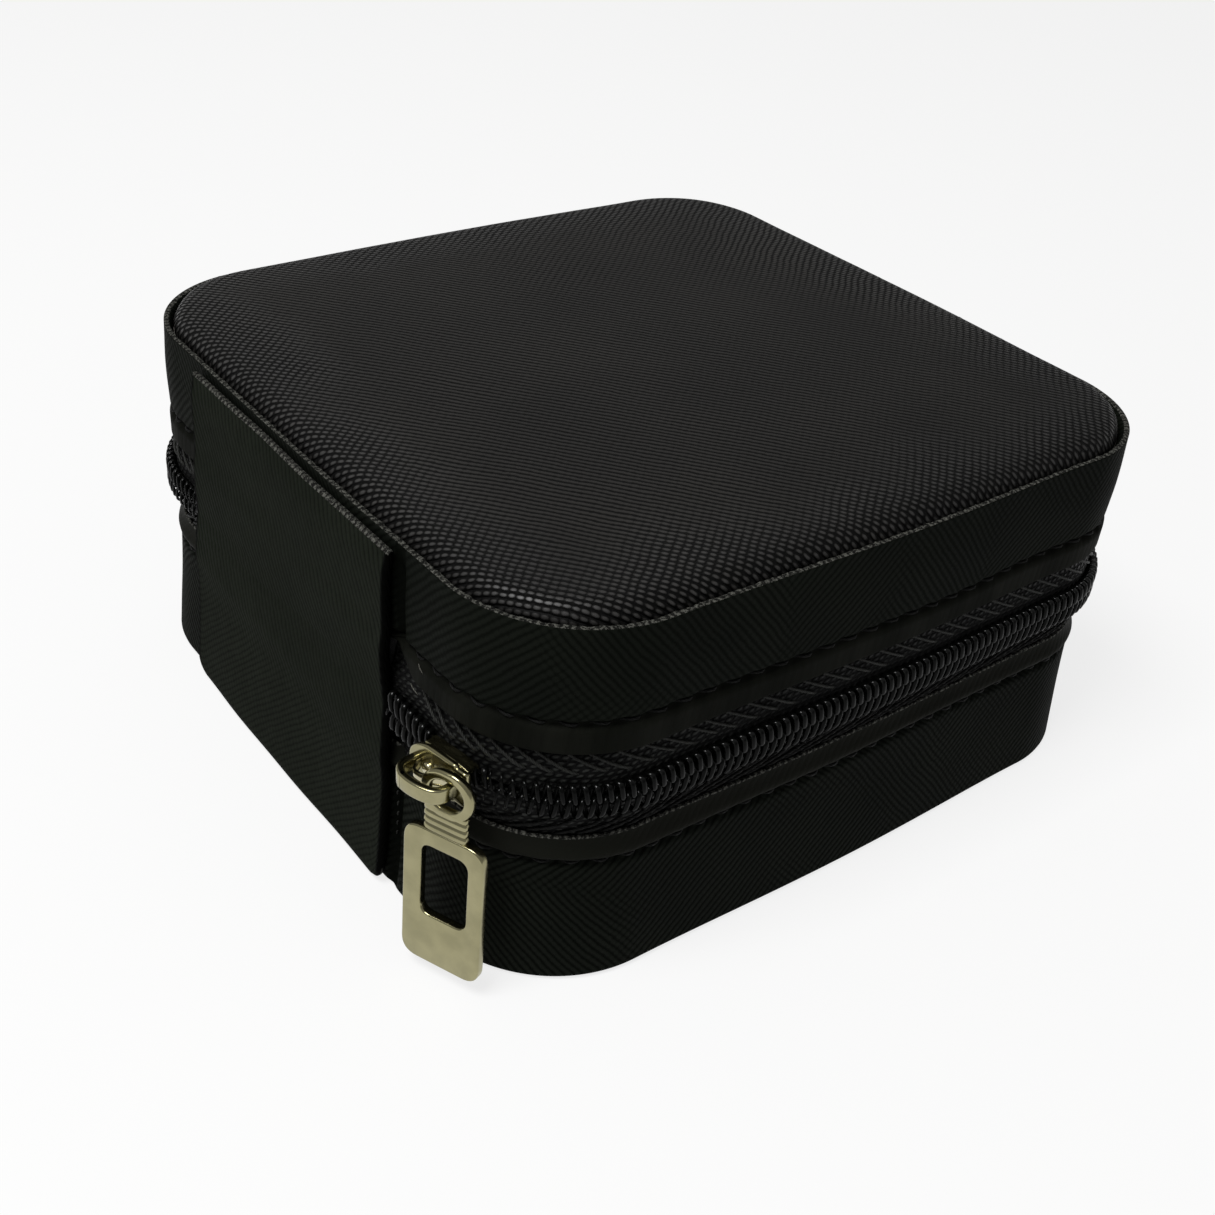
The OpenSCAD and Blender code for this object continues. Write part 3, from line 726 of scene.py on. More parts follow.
def lid_face(s, z):
    """Outer face of the lid band: nearly upright, with a stitched groove above a flat hem."""
    seam = lid_seam(s)
    groove = 0.95 * hump(z, seam, 0.5) * pucker(s + 1.3)
    hem = 0.22 * ease(seam + 0.2, seam - 1.0, z)
    swell = 0.28 * hump(z, 0.5 * (RIM + LID_STITCH_Z), 5.0)
    wave = ripple(s, 13, *way_round((41, 0.05), (126, 0.07)))
    return swell - groove + hem + wave


def from_back(s):
    """Signed length from the middle of the back, positive toward the slider."""
    return np.mod(s + 0.5 * ROUND, ROUND) - 0.5 * ROUND


def spine_edges(z):
    """Lengths of the spine's two cut edges: it is wider low on the far side, and is pinched by the
    fold on the slider's side."""
    far = -(SPINE_HALF + 1.3 + 2.8 * ease(42, 20, z))
    near = SPINE_HALF - 0.9 * hump(z, ZIP_MID + 1, 8)
    return far, near


def spine_nook(s, z):
    """1 just outside the two edges of the spine, where the band is drawn in under it."""
    far, near = spine_edges(z)
    across = from_back(s)
    either = np.maximum(hump(across, near + 0.7, 0.8), hump(across, far - 0.7, 0.8))
    return 1.25 * either * ease(RIM - 0.5, RIM - 5, z)


HEM_CUT = 3.4


def hem_lift(s, z):
    """Rise of the lid's hem where its end is cut on a slant beside the spine."""
    beside_spine = ease(SPINE_HALF + 4.5, SPINE_HALF + 0.3, np.abs(from_back(s)))
    return HEM_CUT * beside_spine * np.clip((LID_STITCH_Z - z) / (LID_STITCH_Z - LID_LOW), 0, 1)


RIM_INWARD = np.array([0.12, 0.34, 0.56, 0.78, 1.0])
RIM_DROP = np.array([0.0, -0.03, 0.06, 0.8, 1.6])


def band(name, body, stands_for, low, high, face, levels):
    """A leather band all the way round. Its profile runs up the outer face, over the cut edge, down
    the inside and back under. levels gives the heights between which the outer face has a finish."""
    s = rounds(BAND_STEP)
    z = np.linspace(low, high, int((high - low) / BAND_FINE) + 1)
    foot = 0.55 if body == "base" else 0.18
    inner = np.linspace(high - RIM_DROP[-1], low, int((high - low) / BAND_INNER) + 1)
    columns = s[:, None]
    n_outer = face(columns, z[None]) - spine_nook(columns, z[None]) * ease(low, low + 1, z)[None]
    n_outer = n_outer - 2.2 * foot * (1 - round_off(z - low, foot))[None]
    crumb = ripple(columns, 17, (1.7, 0.05), (0.9, 0.04), (4.1, 0.05))
    n_top = n_outer[:, -1:] - RIM_INWARD[None] * (LEATHER_T + n_outer[:, -1:])
    z_top = high - RIM_DROP[None] + crumb * [[1, 1, 1, 0.5, 0]]
    n = np.concatenate([n_outer, n_top, np.full((len(s), len(inner)), -LEATHER_T)], 1)
    heights = np.concatenate([np.broadcast_to(z, n_outer.shape), z_top,
                              np.broadcast_to(inner, (len(s), len(inner)))], 1)
    if body == "lid":
        heights = heights + hem_lift(columns, heights)
    v = running(np.stack([n[0], heights[0]], -1), True) + low
    kinds = np.zeros(len(v) - 1, int)
    middle = 0.5 * (z[1:] + z[:-1])
    for bottom, top, kind in levels:
        kinds[:len(middle)][(middle > bottom) & (middle < top)] = kind
    kinds[len(middle):len(middle) + 3] = 2
    points = beside(columns, n, heights)
    patch = grid(points, round_u=True, round_v=True, u=np.append(s, ROUND), v=v, finish=kinds[None])
    return build(name, [patch], [SIDE, HEM, EDGE], body, stands_for)


band("base_band", "base", ["base_side_band"], 0.0, BASE_TOP, base_face,
     [(BASE_STITCH_Z, BASE_TOP - 0.3, 1), (BASE_TOP - 0.3, BASE_TOP, 2)])
band("lid_band", "lid", ["lid_side_band"], LID_LOW, RIM, lid_face, [(LID_LOW, LID_STITCH_Z, 1)])


def hem_stitches(name, body, face, height, shift):
    """Black thread lying in a hem's groove: one short tube a stitch, dipping at its two ends."""
    count = round(ROUND / STITCH_PITCH)
    pitch = ROUND / count
    starts = (np.arange(count) + 0.5) * pitch + shift
    along = np.linspace(-0.4, 0.4, 9) * pitch
    s = starts[:, None] + along[None]
    clear = np.abs(from_back(starts)) > SPINE_HALF + 0.6
    s = s[clear]
    z = height(s) + ripple(s, 19, (5.3, 0.05))
    dip = 0.42 * (np.abs(along) / (0.4 * pitch)) ** 4
    path = beside(s, face(s, z) + 0.16 - dip[None], z)
    return build(name, [tube(path, outward(s), 0.2, lobes=2, turns=3)], [BLACK_THREAD], body)


hem_stitches("base_hem_stitches", "base", base_face, base_seam, 0.0)
hem_stitches("lid_hem_stitches", "lid", lid_face, lid_seam, 1.7)


def loose_threads():
    """Two broken ends that stick out of the lid's hem beside the spine."""
    t = np.linspace(0, 1, 16)[None]
    starts = np.array([[27.4, 33.0, 1.5, -0.2], [29.0, 36.7, 0.8, -0.35]])
    s = starts[:, :1] + starts[:, 2:3] * t + 0.25 * np.sin(2.6 * t)
    z = starts[:, 1:2] + starts[:, 3:] * t - 0.5 * t ** 3
    path = beside(s, 0.32 + 0.22 * np.sin(np.pi * t), z)
    ends = tube(path, outward(s), 0.06, lobes=2, turns=2)
    build("loose_thread_ends", [ends], [LOOSE_THREAD], "lid")


loose_threads()

# ---------------------------------------------------------------- padded lid cover

GROOVE_IN = 1.35
GROOVE_FLOOR = 48.4
PAD_RISE = 2.0
PAD_CROWN = 0.9


def pad_height(x, y, inset):
    """Crown of the padded cover: a quick shoulder, 1 - exp(-inset / 0.8), and a slow dome that is
    the product of the same curve over 9 mm from each pair of sides."""
    dome = (1 - np.exp(-(HALF_W - np.abs(x)) / 9)) * (1 - np.exp(-(HALF_D - np.abs(y)) / 9))
    return RIM - 0.45 + PAD_RISE * (1 - np.exp(-inset / 0.8)) + PAD_CROWN * dome


def pad_cover():
    """The cover: rings that follow the outline while they are near it, and then draw in to the
    middle; below its shoulder a skirt goes down into the groove behind the band."""
    s = rounds(1.0)
    columns = s[:, None]
    depth = np.concatenate([np.linspace(0, 4, 15), np.linspace(4.6, 15, 17)])
    pinch = ripple(columns, 23, *way_round((13, 0.03), (37, 0.05), (95, 0.05))) * np.exp(-depth / 2)[None]
    ring = beside(columns, -GROOVE_IN - depth[None] - pinch, 0.0)[..., :2]
    draw = np.linspace(0, 1, 40)[1:]
    inner = ring[:, -1:] * (1 - draw[None, :, None])
    flat = np.concatenate([ring, inner], 1)
    inset = np.concatenate([depth, 15 + 30 * draw])[None]
    top = pad_height(flat[..., 0], flat[..., 1], inset)
    skirt_z = np.array([47.6, 48.1, 48.6, RIM - 0.6])
    skirt = beside(columns, -GROOVE_IN + 0.1, skirt_z[None])
    tuck = beside(columns, -GROOVE_IN - 3.0, GROOVE_FLOOR)
    under = np.broadcast_to([0, 0, GROOVE_FLOOR], tuck.shape)
    points = np.concatenate([under, tuck, skirt, np.dstack([flat, top])], 1)
    piece = build("lid_pad", [grid(points, round_u=True)], [LID], "lid", ["lid_top_cover"])
    return piece


pad_cover()

# ---------------------------------------------------------------- spine

SPINE_T = 1.3
SPINE_CORNER = 2.6
SPINE_LOW = 0.15


def fold_at_zip(piece):
    """Bakes the piece's placement into its mesh. The zip's height, 5.5 mm either side of its middle, is
    worked out but not used, and the piece does not bend.
    """
    (ZIP_MID - 5.5) * MM
    (ZIP_MID + 5.5) * MM
    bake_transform(piece)


def spine():
    """One strap over the back: it follows the bands, sinks a little between the hems where it
    folds, and is creased there. Its cut edges show at the sides and the top, and its low corners
    are rounded."""
    share = np.concatenate([np.linspace(0, 0.025, 5), np.linspace(0.04, 0.96, 64), np.linspace(0.975, 1, 5)])
    up = np.linspace(0, 1, 150)
    level = SPINE_LOW + (SPINE_TOP - SPINE_LOW) * up
    far, near = spine_edges(level)
    s = far[None] + (near - far)[None] * share[:, None]
    from_edge = np.minimum(s - far[None], near[None] - s)
    corner = SPINE_CORNER * (1 - round_off(from_edge, SPINE_CORNER))
    height = level[None] + corner * (1 - up[None])
    over_base = base_face(s, np.minimum(height, BASE_STITCH_Z - 1.5)) * ease(ZIP_MID, BASE_TOP - 3, height)
    over_lid = lid_face(s, np.maximum(height, LID_STITCH_Z + 1.5)) * ease(ZIP_MID, LID_LOW + 3, height)
    under = np.where(height < ZIP_MID, over_base, over_lid) + 0.05
    hems = 0.16 * hump(height, BASE_TOP - 1.5, 1.6) + 0.14 * hump(height, LID_LOW + 2, 1.6)
    sink = -0.45 * hump(height, ZIP_MID + 0.2 * np.sin(s / 7), 3.4)
    slant = 0.1 * (s + 4)
    creases = sum(-d * hump(height, ZIP_MID + o + slant + 0.3 * np.sin(s / w + o), 0.5)
                  for o, d, w in ((-2.6, 0.06, 11), (-0.4, 0.1, 17), (1.9, 0.07, 8)))
    wave = ripple(s + 0.4 * height, 29, (19, 0.05), (43, 0.08))
    curl = 0.15 * np.exp(-from_edge / 1.2)
    inner = under + hems + sink + wave + curl
    outer = inner + SPINE_T * (1 - 0.25 * ease(SPINE_TOP - 3, SPINE_TOP, height)) + creases
    rim = np.minimum(round_off(from_edge, 0.5, 0.02), round_off(SPINE_TOP - height, 0.5, 0.02))
    foot = round_off(height - SPINE_LOW - corner, 1.4, 0.05)
    fray = 0.07 * ripple(s + height, 31, (0.8, 1.0), (1.9, 1.0)) * (1 - rim)
    middle = 0.5 * (inner + outer)
    half = 0.5 * (outer - inner) * (0.35 + 0.65 * rim) * foot
    front = beside(s, middle + half + fray, height)
    back = beside(s, middle - half, height)
    cell_edge = 0.5 * (from_edge[1:, 1:] + from_edge[:-1, :-1])
    cell_top = SPINE_TOP - 0.5 * (height[1:, 1:] + height[:-1, :-1])
    u = SPINE_MARK + SPINE_MARK_SPAN * share
    outer_patch = grid(front, u=u, v=level, finish=np.where(cell_top < 0.45, 1, 0))
    inner_patch = grid(back, u=u, v=level, finish=np.where(cell_edge < 1.2, 0, 2), flip=True)
    # The cut side walls take the spine's finish with marks from 0 to SPINE_T, far from SPINE_MARK, so they
    # are painted near black: painted shade of the gaps beside the strap.
    sides = [grid(np.stack([front[i], back[i]], 0), u=[0, SPINE_T], v=level, finish=0, flip=i == 0)
             for i in (0, -1)]
    ends = [grid(np.stack([front[:, j], back[:, j]], 1), u=u, v=[0, SPINE_T], finish=1, flip=j == 0)
            for j in (0, -1)]
    fold_at_zip(build("spine_strap", [outer_patch, inner_patch, *sides, *ends], [SPINE, EDGE, VELVET],
                      None, ["spine_lower", "spine_upper"]))


spine()

# ---------------------------------------------------------------- zip tape and its threads

def tape_section(sign):
    """Mid-line of a tape: tucked in behind its band, and stepped out to the coil."""
    points = [(-1.45, ZIP_MID - sign * 15.0), (-1.45, ZIP_MID - sign * 6.1),
              (-0.55, ZIP_MID - sign * 3.9), (-0.55, ZIP_MID - sign * 0.35)]
    return evenly(soften(points, 0.8, 6, closed=False), 0.3)


def tape(name, body, node, sign):
    """Woven tape, thick as its own half millimetre, from one edge of the spine to the other."""
    middle = tape_section(sign)
    s = np.linspace(SPINE_HALF - 2, ROUND - SPINE_HALF + 2, 520)
    side = 0.5 * TAPE_T * sideways(middle)
    n, z = np.concatenate([middle + side, (middle - side)[::-1]]).T
    sag = 0.05 * ripple(s, 37 + sign, (17, 1), (9, 0.6))[:, None] * ease(8, 4, np.abs(z - ZIP_MID))
    rings = beside(s[:, None], n[None] + sag, z[None])
    u = np.concatenate([[s[0] - 0.5], s, [s[-1] + 0.5]])
    return build(name, [loop_solid(rings, u=u)], [TAPE], body, [node])


def tape_threads(name, body, sign, finish):
    """Sewing that holds the coil: long slanting twisted stitches from the hem to each row."""
    starts = np.arange(SPINE_HALF + 3, ROUND - SPINE_HALF - 8, THREAD_PITCH)
    starts = starts + 0.15 * ripple(starts, 41, (7.7, 1), (3.1, 1))
    t = np.linspace(0, 1, 19)
    s = starts[:, None] + THREAD_RUN * t[None]
    away = 6.1 - 2.9 * t[None] + 0.12 * ripple(starts, 43, (5, 1))[:, None]
    seat = np.interp(away, [3.9, 6.1], [-0.3, -1.2])
    lift = seat + 0.17 + 0.12 * np.sin(np.pi * t)[None] - 0.3 * t[None] ** 12
    path = beside(s, lift, ZIP_MID + sign * away)
    return build(name, [tube(path, outward(s), 0.2, lobes=2, turns=6)], [finish], body)


tape("tape_lower", "base", "zip_tape_lower", 1)
tape("tape_upper", "lid", "zip_tape_upper", -1)
# Painted shade: the lower row's sewing is the same thread as the upper's, drawn in black thread as a darker
# copy for the shade under the coil.
tape_threads("tape_threads_lower", "base", -1, BLACK_THREAD)
tape_threads("tape_threads_upper", "lid", 1, WORN_THREAD)

# ---------------------------------------------------------------- zip coil

def coil(s, sign, start, spread=0.0):
    """One row: a flattened spiral of nylon wire round the row's line, which lies above or below the
    zip's middle by the sign. line + deep cos(a) out + half sin(a) across, with the turn a
    proportional to the length along the line. Its marks count the turns."""
    centre = beside(s, COIL_OUT, ZIP_MID + sign * (COIL_ROW + spread))
    length = running(centre, False)
    at = np.linspace(0, length[-1], int(length[-1] / COIL_PITCH * COIL_STEPS) + 1)
    line = read_off(at, length, centre)
    out = read_off(at, length, outward(s))
    across = unit(np.cross(np.gradient(line, axis=0), out))
    turn = sign * 2 * np.pi * (at + start) / COIL_PITCH
    square = squared(turn, 3)
    radial = (COIL_DEEP * square * np.cos(turn))[:, None] * out
    radial = radial + (COIL_HALF * square * np.sin(turn))[:, None] * across
    return tube(line + radial, unit(radial), COIL_WIRE, sides=8, wide=COIL_WIDE, u=turn / (2 * np.pi))


def zip_rows():
    """Both rows, joined past the slider and parted before it, and the links inside the slider."""
    first, last = (length_at(angle) for angle in SLIDER_ENDS)
    far, near = spine_edges(ZIP_MID)
    joined = np.linspace(last, ROUND + far - 0.3, 900)
    parted = np.linspace(near + 0.3, first, 60)
    spread = 0.35 * ease(first, SPINE_HALF, parted)
    links = np.linspace(length_at(95), last + 0.8, 30)
    for name, body, node, rows in (
            ("coil_upper", "lid", "zip_coil_upper", [coil(joined, 1, 0.0), coil(parted, 1, 0.3, spread)]),
            ("coil_lower", "base", "zip_coil_lower",
             [coil(joined, -1, 0.5 * COIL_PITCH), coil(parted, -1, 0.0, spread)]),
            ("coil_joined", "base", "zip_joined_links", [coil(links, 1, 0.0)])):
        build(name, rows, [COIL], body, [node])


zip_rows()


def edge_stitches():
    """Small pale stitches that hold the lower tape's end, seen in the gap beside the spine."""
    z = np.arange(8.0, 19.0, 1.6)
    t = np.linspace(-0.5, 0.5, 9)
    s = SPINE_HALF + 0.35 + 0.1 * np.sin(3 * z)
    path = beside(s[:, None] + 0.12 * t[None], -0.8 * t[None] ** 2, z[:, None] + 0.75 * t[None])
    out = np.broadcast_to(outward(s)[:, None], path.shape)
    build("tape_end_stitches", [tube(path, out, 0.12)], [WORN_THREAD], "base")


edge_stitches()

# ---------------------------------------------------------------- slider and pull

def corner_bench(angle):
    """Maps (t, n, z) to the row frame, with t along the track at the slider's corner and n outward
    from the outline, on a flat plane that touches the corner at the angle."""
    turn = math.radians(angle)
    out = np.array([math.cos(turn), math.sin(turn), 0])
    along = np.array([-math.sin(turn), math.cos(turn), 0])
    middle = np.array([-CORNER_X, CORNER_Y, 0])

    def place(t, n, z):
        t, n, z = (part[..., None] for part in np.broadcast_arrays(t, n, z))
        return middle + (CORNER_R + n) * out + t * along + z * np.array([0, 0, 1])
    return place


def inset_box(low, high, radius):
    """Rounded rectangle drawn in by a distance, as a function of the distance."""
    def shape(inset):
        x0, z0, x1, z1 = low[0] + inset, low[1] + inset, high[0] - inset, high[1] - inset
        return soften([(x0, z0), (x1, z0), (x1, z1), (x0, z1)], max(radius - inset, 0.02), 9)
    return shape


def plate(bench, outer, n_low, n_high, bevel, hole=None, dome=0.0):
    """Flat casting with rounded edges: rings of its outline, drawn in by the bevel's quarter circle,
    run over the front, round the rim and back to the hole or the middle."""
    quarter = np.linspace(0, np.pi / 2, 5)
    steps = [(bevel * (1 - np.sin(a)), n_high - bevel * (1 - np.cos(a))) for a in quarter]
    steps += [(bevel * (1 - np.cos(a)), n_low + bevel * (1 - np.sin(a))) for a in quarter]
    rings = [(outer(inset), n) for inset, n in steps]
    if hole is None:
        centre = outer(0).mean(0)
        faces = [(centre + (outer(bevel) - centre) * k, k) for k in (0.75, 0.5, 0.25, 0.0)]
        fronts = [(face, n_high + dome * (1 - k * k)) for face, k in faces[::-1]]
        rings = fronts + rings + [(face, n_low) for face, k in faces]
    else:
        rings = rings + [(hole(-inset), n) for inset, n in steps[::-1]]
    points = np.stack([bench(shape[:, 0], n, shape[:, 1]) for shape, n in rings], 1)
    return turned_out(grid(points, round_u=True, round_v=hole is not None))


def strap(bench, path, z_mid, half_w, half_t):
    """Flat strip bent along a line in the plane of t and n; its section is a rounded rectangle."""
    path = evenly(path, 0.22)
    side = sideways(path)
    section = soften([(-half_t, -half_w), (half_t, -half_w), (half_t, half_w), (-half_t, half_w)], 0.28, 4)
    t = path[:, :1] + side[:, :1] * section[None, :, 0]
    n = path[:, 1:] + side[:, 1:] * section[None, :, 0]
    return loop_solid(bench(t, n, z_mid + section[None, :, 1]))


def spun(bench, middle, profile, count):
    """A solid turned about the bench's own n: (radius, n) steps round a middle (t, z)."""
    a = circle(count)[:, None]
    r, n = np.array(profile).T[:, None]
    return turned_out(grid(bench(middle[0] + r * np.cos(a), n, middle[1] + r * np.sin(a)), round_u=True))


SLIDER = corner_bench(SLIDER_ANGLE)
PLATE_IN = 1.5
PLATE_OUT = 2.5


def shield(inset):
    """Slider's plate: wide and round where the rows part, a little narrower where they meet."""
    half = np.array([(-5.3, 1.1), (-3.1, 2.75), (1.9, 2.65), (2.3, 2.35), (3.8, 2.35)])
    upper = half * [1, 1] + [0, ZIP_MID]
    lower = half[::-1] * [1, -1] + [0, ZIP_MID]
    radii = [1.0, 1.3, 0.2, 0.2, 0.5]
    edge = soften(np.concatenate([upper, lower]), radii + radii[::-1], 7)
    return (edge - inset * unit(edge - [-0.7, ZIP_MID]))[::-1]


def slider():
    """Two plates, the flanges that hold the coil, the post between the rows, and the crown."""
    front = plate(SLIDER, shield, PLATE_IN, PLATE_OUT, 0.35, dome=0.12)
    back = plate(SLIDER, shield, -1.75, -0.95, 0.3)
    line = evenly(soften([(-3.2, 2.42), (1.6, 2.42), (3.4, 2.1)], 0.8, 5, closed=False), 0.4)
    high = PLATE_IN + 0.4
    n, z = soften([(0.2, -0.27), (high, -0.27), (high, 0.27), (0.2, 0.27)], 0.12, 4).T[:, None]
    flanges = [loop_solid(SLIDER(line[:, :1], n, ZIP_MID + sign * line[:, 1:] + z)) for sign in (-1, 1)]
    between = inset_box((-4.7, ZIP_MID - 0.3), (-3.4, ZIP_MID + 0.3), 0.25)
    post = plate(SLIDER, between, -1.0, PLATE_IN + 0.2, 0.1)
    crown = soften([(-3.75, 2.0), (-4.1, 5.6), (-1.0, 6.3), (2.45, 5.3), (2.45, 2.0)],
                   [0.1, 2.0, 1.8, 1.4, 0.1], 9, closed=False)
    spring = soften([(-3.2, 2.7), (-2.6, 4.3), (-1.2, 4.35), (0.2, 3.3), (1.4, 2.75)],
                    [0.1, 0.6, 0.6, 0.6, 0.1], 6, closed=False)
    head = [(0.0, 0.62), (0.45, 0.6), (0.72, 0.45), (0.82, 0.2), (0.7, -0.2), (0.0, -0.5)]
    rivet = spun(SLIDER, (-1.9, ZIP_MID), [(r, PLATE_OUT + h) for r, h in head], 28)
    crown = strap(SLIDER, crown, ZIP_MID, 1.0, 0.48)
    lock = [strap(SLIDER, spring, ZIP_MID, 0.62, 0.13), rivet]
    for name, patches, finish, node in (
            ("slider_shell", [front, back, *flanges, post], NICKEL, "slider_body"),
            ("slider_crown", [crown], NICKEL, "slider_bridge"),
            ("slider_lock", lock, BRIGHT, "slider_lock_rivet")):
        build(name, patches, [finish], "slider", [node], 50)


slider()

PULL_AXIS = [joint["axis"] for joint in frame["joints"] if joint["name"] == "pull_swing"][0]
PULL_ANGLE = math.degrees(math.atan2(PULL_AXIS[1], PULL_AXIS[0]))
PULL_LOW, PULL_HIGH = (corner[2] for corner in reach("zip_pull"))
TAB_W, TAB_H = 10.9, 19.2
WINDOW_HALF, WINDOW_DROP, WINDOW_H, WINDOW_SIDE = 3.2, 2.2, 9.9, 0.2
TAB_TOP = PULL_LOW + TAB_H
EYE_HALF = 3.1
EYE_HOLE = 1.85
EYE_LONG = 0.45
EYE_Z = PULL_HIGH - EYE_HALF


def stadium(radius):
    """Two half circles joined by short straights, grown or drawn in by a distance."""
    def shape(inset):
        a = circle(48) + np.pi / 48
        r = radius - inset
        return np.stack([r * np.cos(a) + EYE_LONG * np.sign(np.cos(a)), EYE_Z + r * np.sin(a)], -1)
    return shape


HANG_TURN = 2.6
HANG_ASIDE = -1.3
HANG_LEAN = math.radians(3.3)
HANG_ROLL = math.radians(2.0)


def hanging(t, n, z):
    """The pull's own plane, loose on the crown: turned, rolled, and leaning out toward its foot."""
    drop = EYE_Z - z
    across = t * math.cos(HANG_ROLL) + drop * math.sin(HANG_ROLL)
    down = drop * math.cos(HANG_ROLL) - t * math.sin(HANG_ROLL)
    out = PULL_OUT + (n - PULL_OUT) * math.cos(HANG_LEAN) + down * math.sin(HANG_LEAN)
    height = EYE_Z - down * math.cos(HANG_LEAN) + (n - PULL_OUT) * math.sin(HANG_LEAN)
    return corner_bench(PULL_ANGLE + HANG_TURN)(across + HANG_ASIDE, out, height)


def pull():
    """Eye, ribbed neck and windowed tab of one casting, hanging from the crown's leg."""
    low, high = PULL_OUT - 0.6, PULL_OUT + 0.6
    window = inset_box((WINDOW_SIDE - WINDOW_HALF, TAB_TOP - WINDOW_DROP - WINDOW_H),
                       (WINDOW_SIDE + WINDOW_HALF, TAB_TOP - WINDOW_DROP), 1.5)
    tab = plate(hanging, inset_box((-TAB_W / 2, PULL_LOW), (TAB_W / 2, TAB_TOP), 2.3), low, high, 0.24,
                hole=window)
    eye = plate(hanging, stadium(EYE_HALF), low + 0.05, high - 0.05, 0.38, hole=stadium(EYE_HOLE))
    z = np.linspace(TAB_TOP - 0.5, EYE_Z - EYE_HOLE - 0.25, 60)
    rib = np.abs(np.sin(np.pi * (z - TAB_TOP + 0.1) / 0.92)) ** 0.7
    half_t = 0.4 + 0.2 * rib
    half_w = 2.9 - 0.12 * (1 - rib)
    a = circle(40)
    t = half_w[:, None] * (squared(a, 5) * np.cos(a))[None]
    n = PULL_OUT + half_t[:, None] * (squared(a, 5) * np.sin(a))[None]
    neck = loop_solid(hanging(t, n, z[:, None]))
    build("pull_tab", [tab, eye, neck], [NICKEL], "pull", ["zip_pull"], 45)


pull()

# ---------------------------------------------------------------- trays inside

def tray_lining(name, body, node, floor, lip, sign):
    """Velvet over a tray's board: a rounded lip, a wall, a coved corner and the floor."""
    profile = soften([(-LIP_IN, lip - sign * 7.0), (-LIP_IN, lip + sign * 0.5), (-LINED_IN, lip + sign * 0.5),
                      (-LINED_IN, floor), (-17.0, floor)], [0.1, 0.5, 0.5, 2.0, 0.1], 8, closed=False)
    n, z = evenly(profile, 0.6).T[:, None]
    s = rounds(1.2)
    straight = np.clip((-LIP_IN - n) / (LINED_IN - LIP_IN), 0, 1)
    ring = beside(s[:, None], n - bow(s)[:, None] * straight, z)
    draw = np.linspace(0, 1, 24)[1:]
    middle = ring[:, -1:] * [1, 1, 0]
    inner = middle * (1 - draw[None, :, None]) + [0, 0, floor]
    points = np.concatenate([ring, inner], 1)
    return build(name, [grid(points, round_u=True, flip=sign < 0)], [VELVET], body, [node])


tray_lining("base_tray_velvet", "base", "base_lining", LINED_FLOOR, reach("base_lining")[1][2] - 0.5, 1)
tray_lining("lid_tray_velvet", "lid", "lid_lining", CEILING, reach("lid_lining")[0][2] + 0.5, -1)

WALL_ROUND = 1.15
ROLL_END = 2.2


def padded_wall(name, body, node, axis):
    """Thin padded wall in velvet: a rounded section carried along the axis, and drawn in by a quarter
    circle at its two ends."""
    low, high = reach(node)
    middle, half = 0.5 * (low + high), 0.5 * (high - low) - 0.02
    others = [i for i in range(3) if i != axis]
    a = circle(44)
    bend = squared(a, np.clip(min(half[others]) / WALL_ROUND * 2.4, 2.2, 12))
    t = np.sin(np.linspace(-1, 1, 61) * np.pi / 2)
    shrink = WALL_ROUND * (1 - round_off(half[axis] * (1 - np.abs(t)), WALL_ROUND))
    points = np.zeros((len(t), len(a), 3))
    for i, wave in zip(others, (np.cos(a), np.sin(a))):
        points[:, :, i] = middle[i] + (half[i] - shrink)[:, None] * (bend * wave)[None]
    points[:, :, axis] = middle[axis] + half[axis] * t[:, None]
    build(name, [loop_solid(points)], [VELVET], body, [node])


def ring_roll(number):
    """A ring roll: soft round top, straight sides that press on its neighbours, and round ends."""
    node = f"ring_roll_{number}"
    low, high = reach(node)
    half = 0.5 * (high[1] - low[1]) - 0.05
    middle = 0.5 * (high[1] + low[1])
    corners = [(-half, low[2]), (half, low[2]), (half, high[2]), (-half, high[2])]
    section = soften(corners, [1.2, 1.2, half * 0.98, half * 0.98], 10)
    x = np.linspace(low[0], high[0], 90)
    draw = ROLL_END * (1 - round_off(np.minimum(x - low[0], high[0] - x), ROLL_END))
    dents = 0.12 * ripple(x, 50 + number, (21, 1), (37, 1))
    y = section[None, :, 0] * (1 - draw / (half + 0.01))[:, None]
    z = low[2] + (section[None, :, 1] - low[2]) * (1 - (draw + dents * 0.3) / (high[2] - low[2]))[:, None]
    rings = points_of(x[:, None], middle + y, z)
    build(node + "_velvet", [loop_solid(rings)], [ROLL_VELVET], "base", [node])


for number in range(1, 6):
    ring_roll(number)
padded_wall("partition_velvet", "base", "centre_partition", 0)
padded_wall("divider_left_velvet", "left_divider", "divider_left", 1)
padded_wall("divider_right_velvet", "right_divider", "divider_right", 1)


def hinge_cloth():
    """Cloth that closes the gap inside the spine, glued to both boards and slack between them."""
    x = np.linspace(SPINE_HALF, -SPINE_HALF, 60)
    z = np.linspace(reach("hinge_strip_lower")[0][2], reach("hinge_strip_upper")[1][2], 60)
    s, height = -x[:, None], z[None]
    n = hump(height, ZIP_MID, 3.2) + 0.05 * ripple(x, 61, (6, 1), (11, 1))[:, None] - 1.45
    rings = np.concatenate([beside(s, n + 0.2, height), beside(s, n - 0.2, height)[:, ::-1]], 1)
    fold_at_zip(build("hinge_cloth", [loop_solid(rings)], [VELVET], None,
                      ["hinge_strip_lower", "hinge_strip_upper"]))


hinge_cloth()

# ---------------------------------------------------------------- lid fittings

def flat_bench(x, z):
    """Maps (t, n, y) with t across, n downward from the height z, and y toward the back."""
    def place(t, n, y):
        return points_of(x + t, y, z - n)
    return place


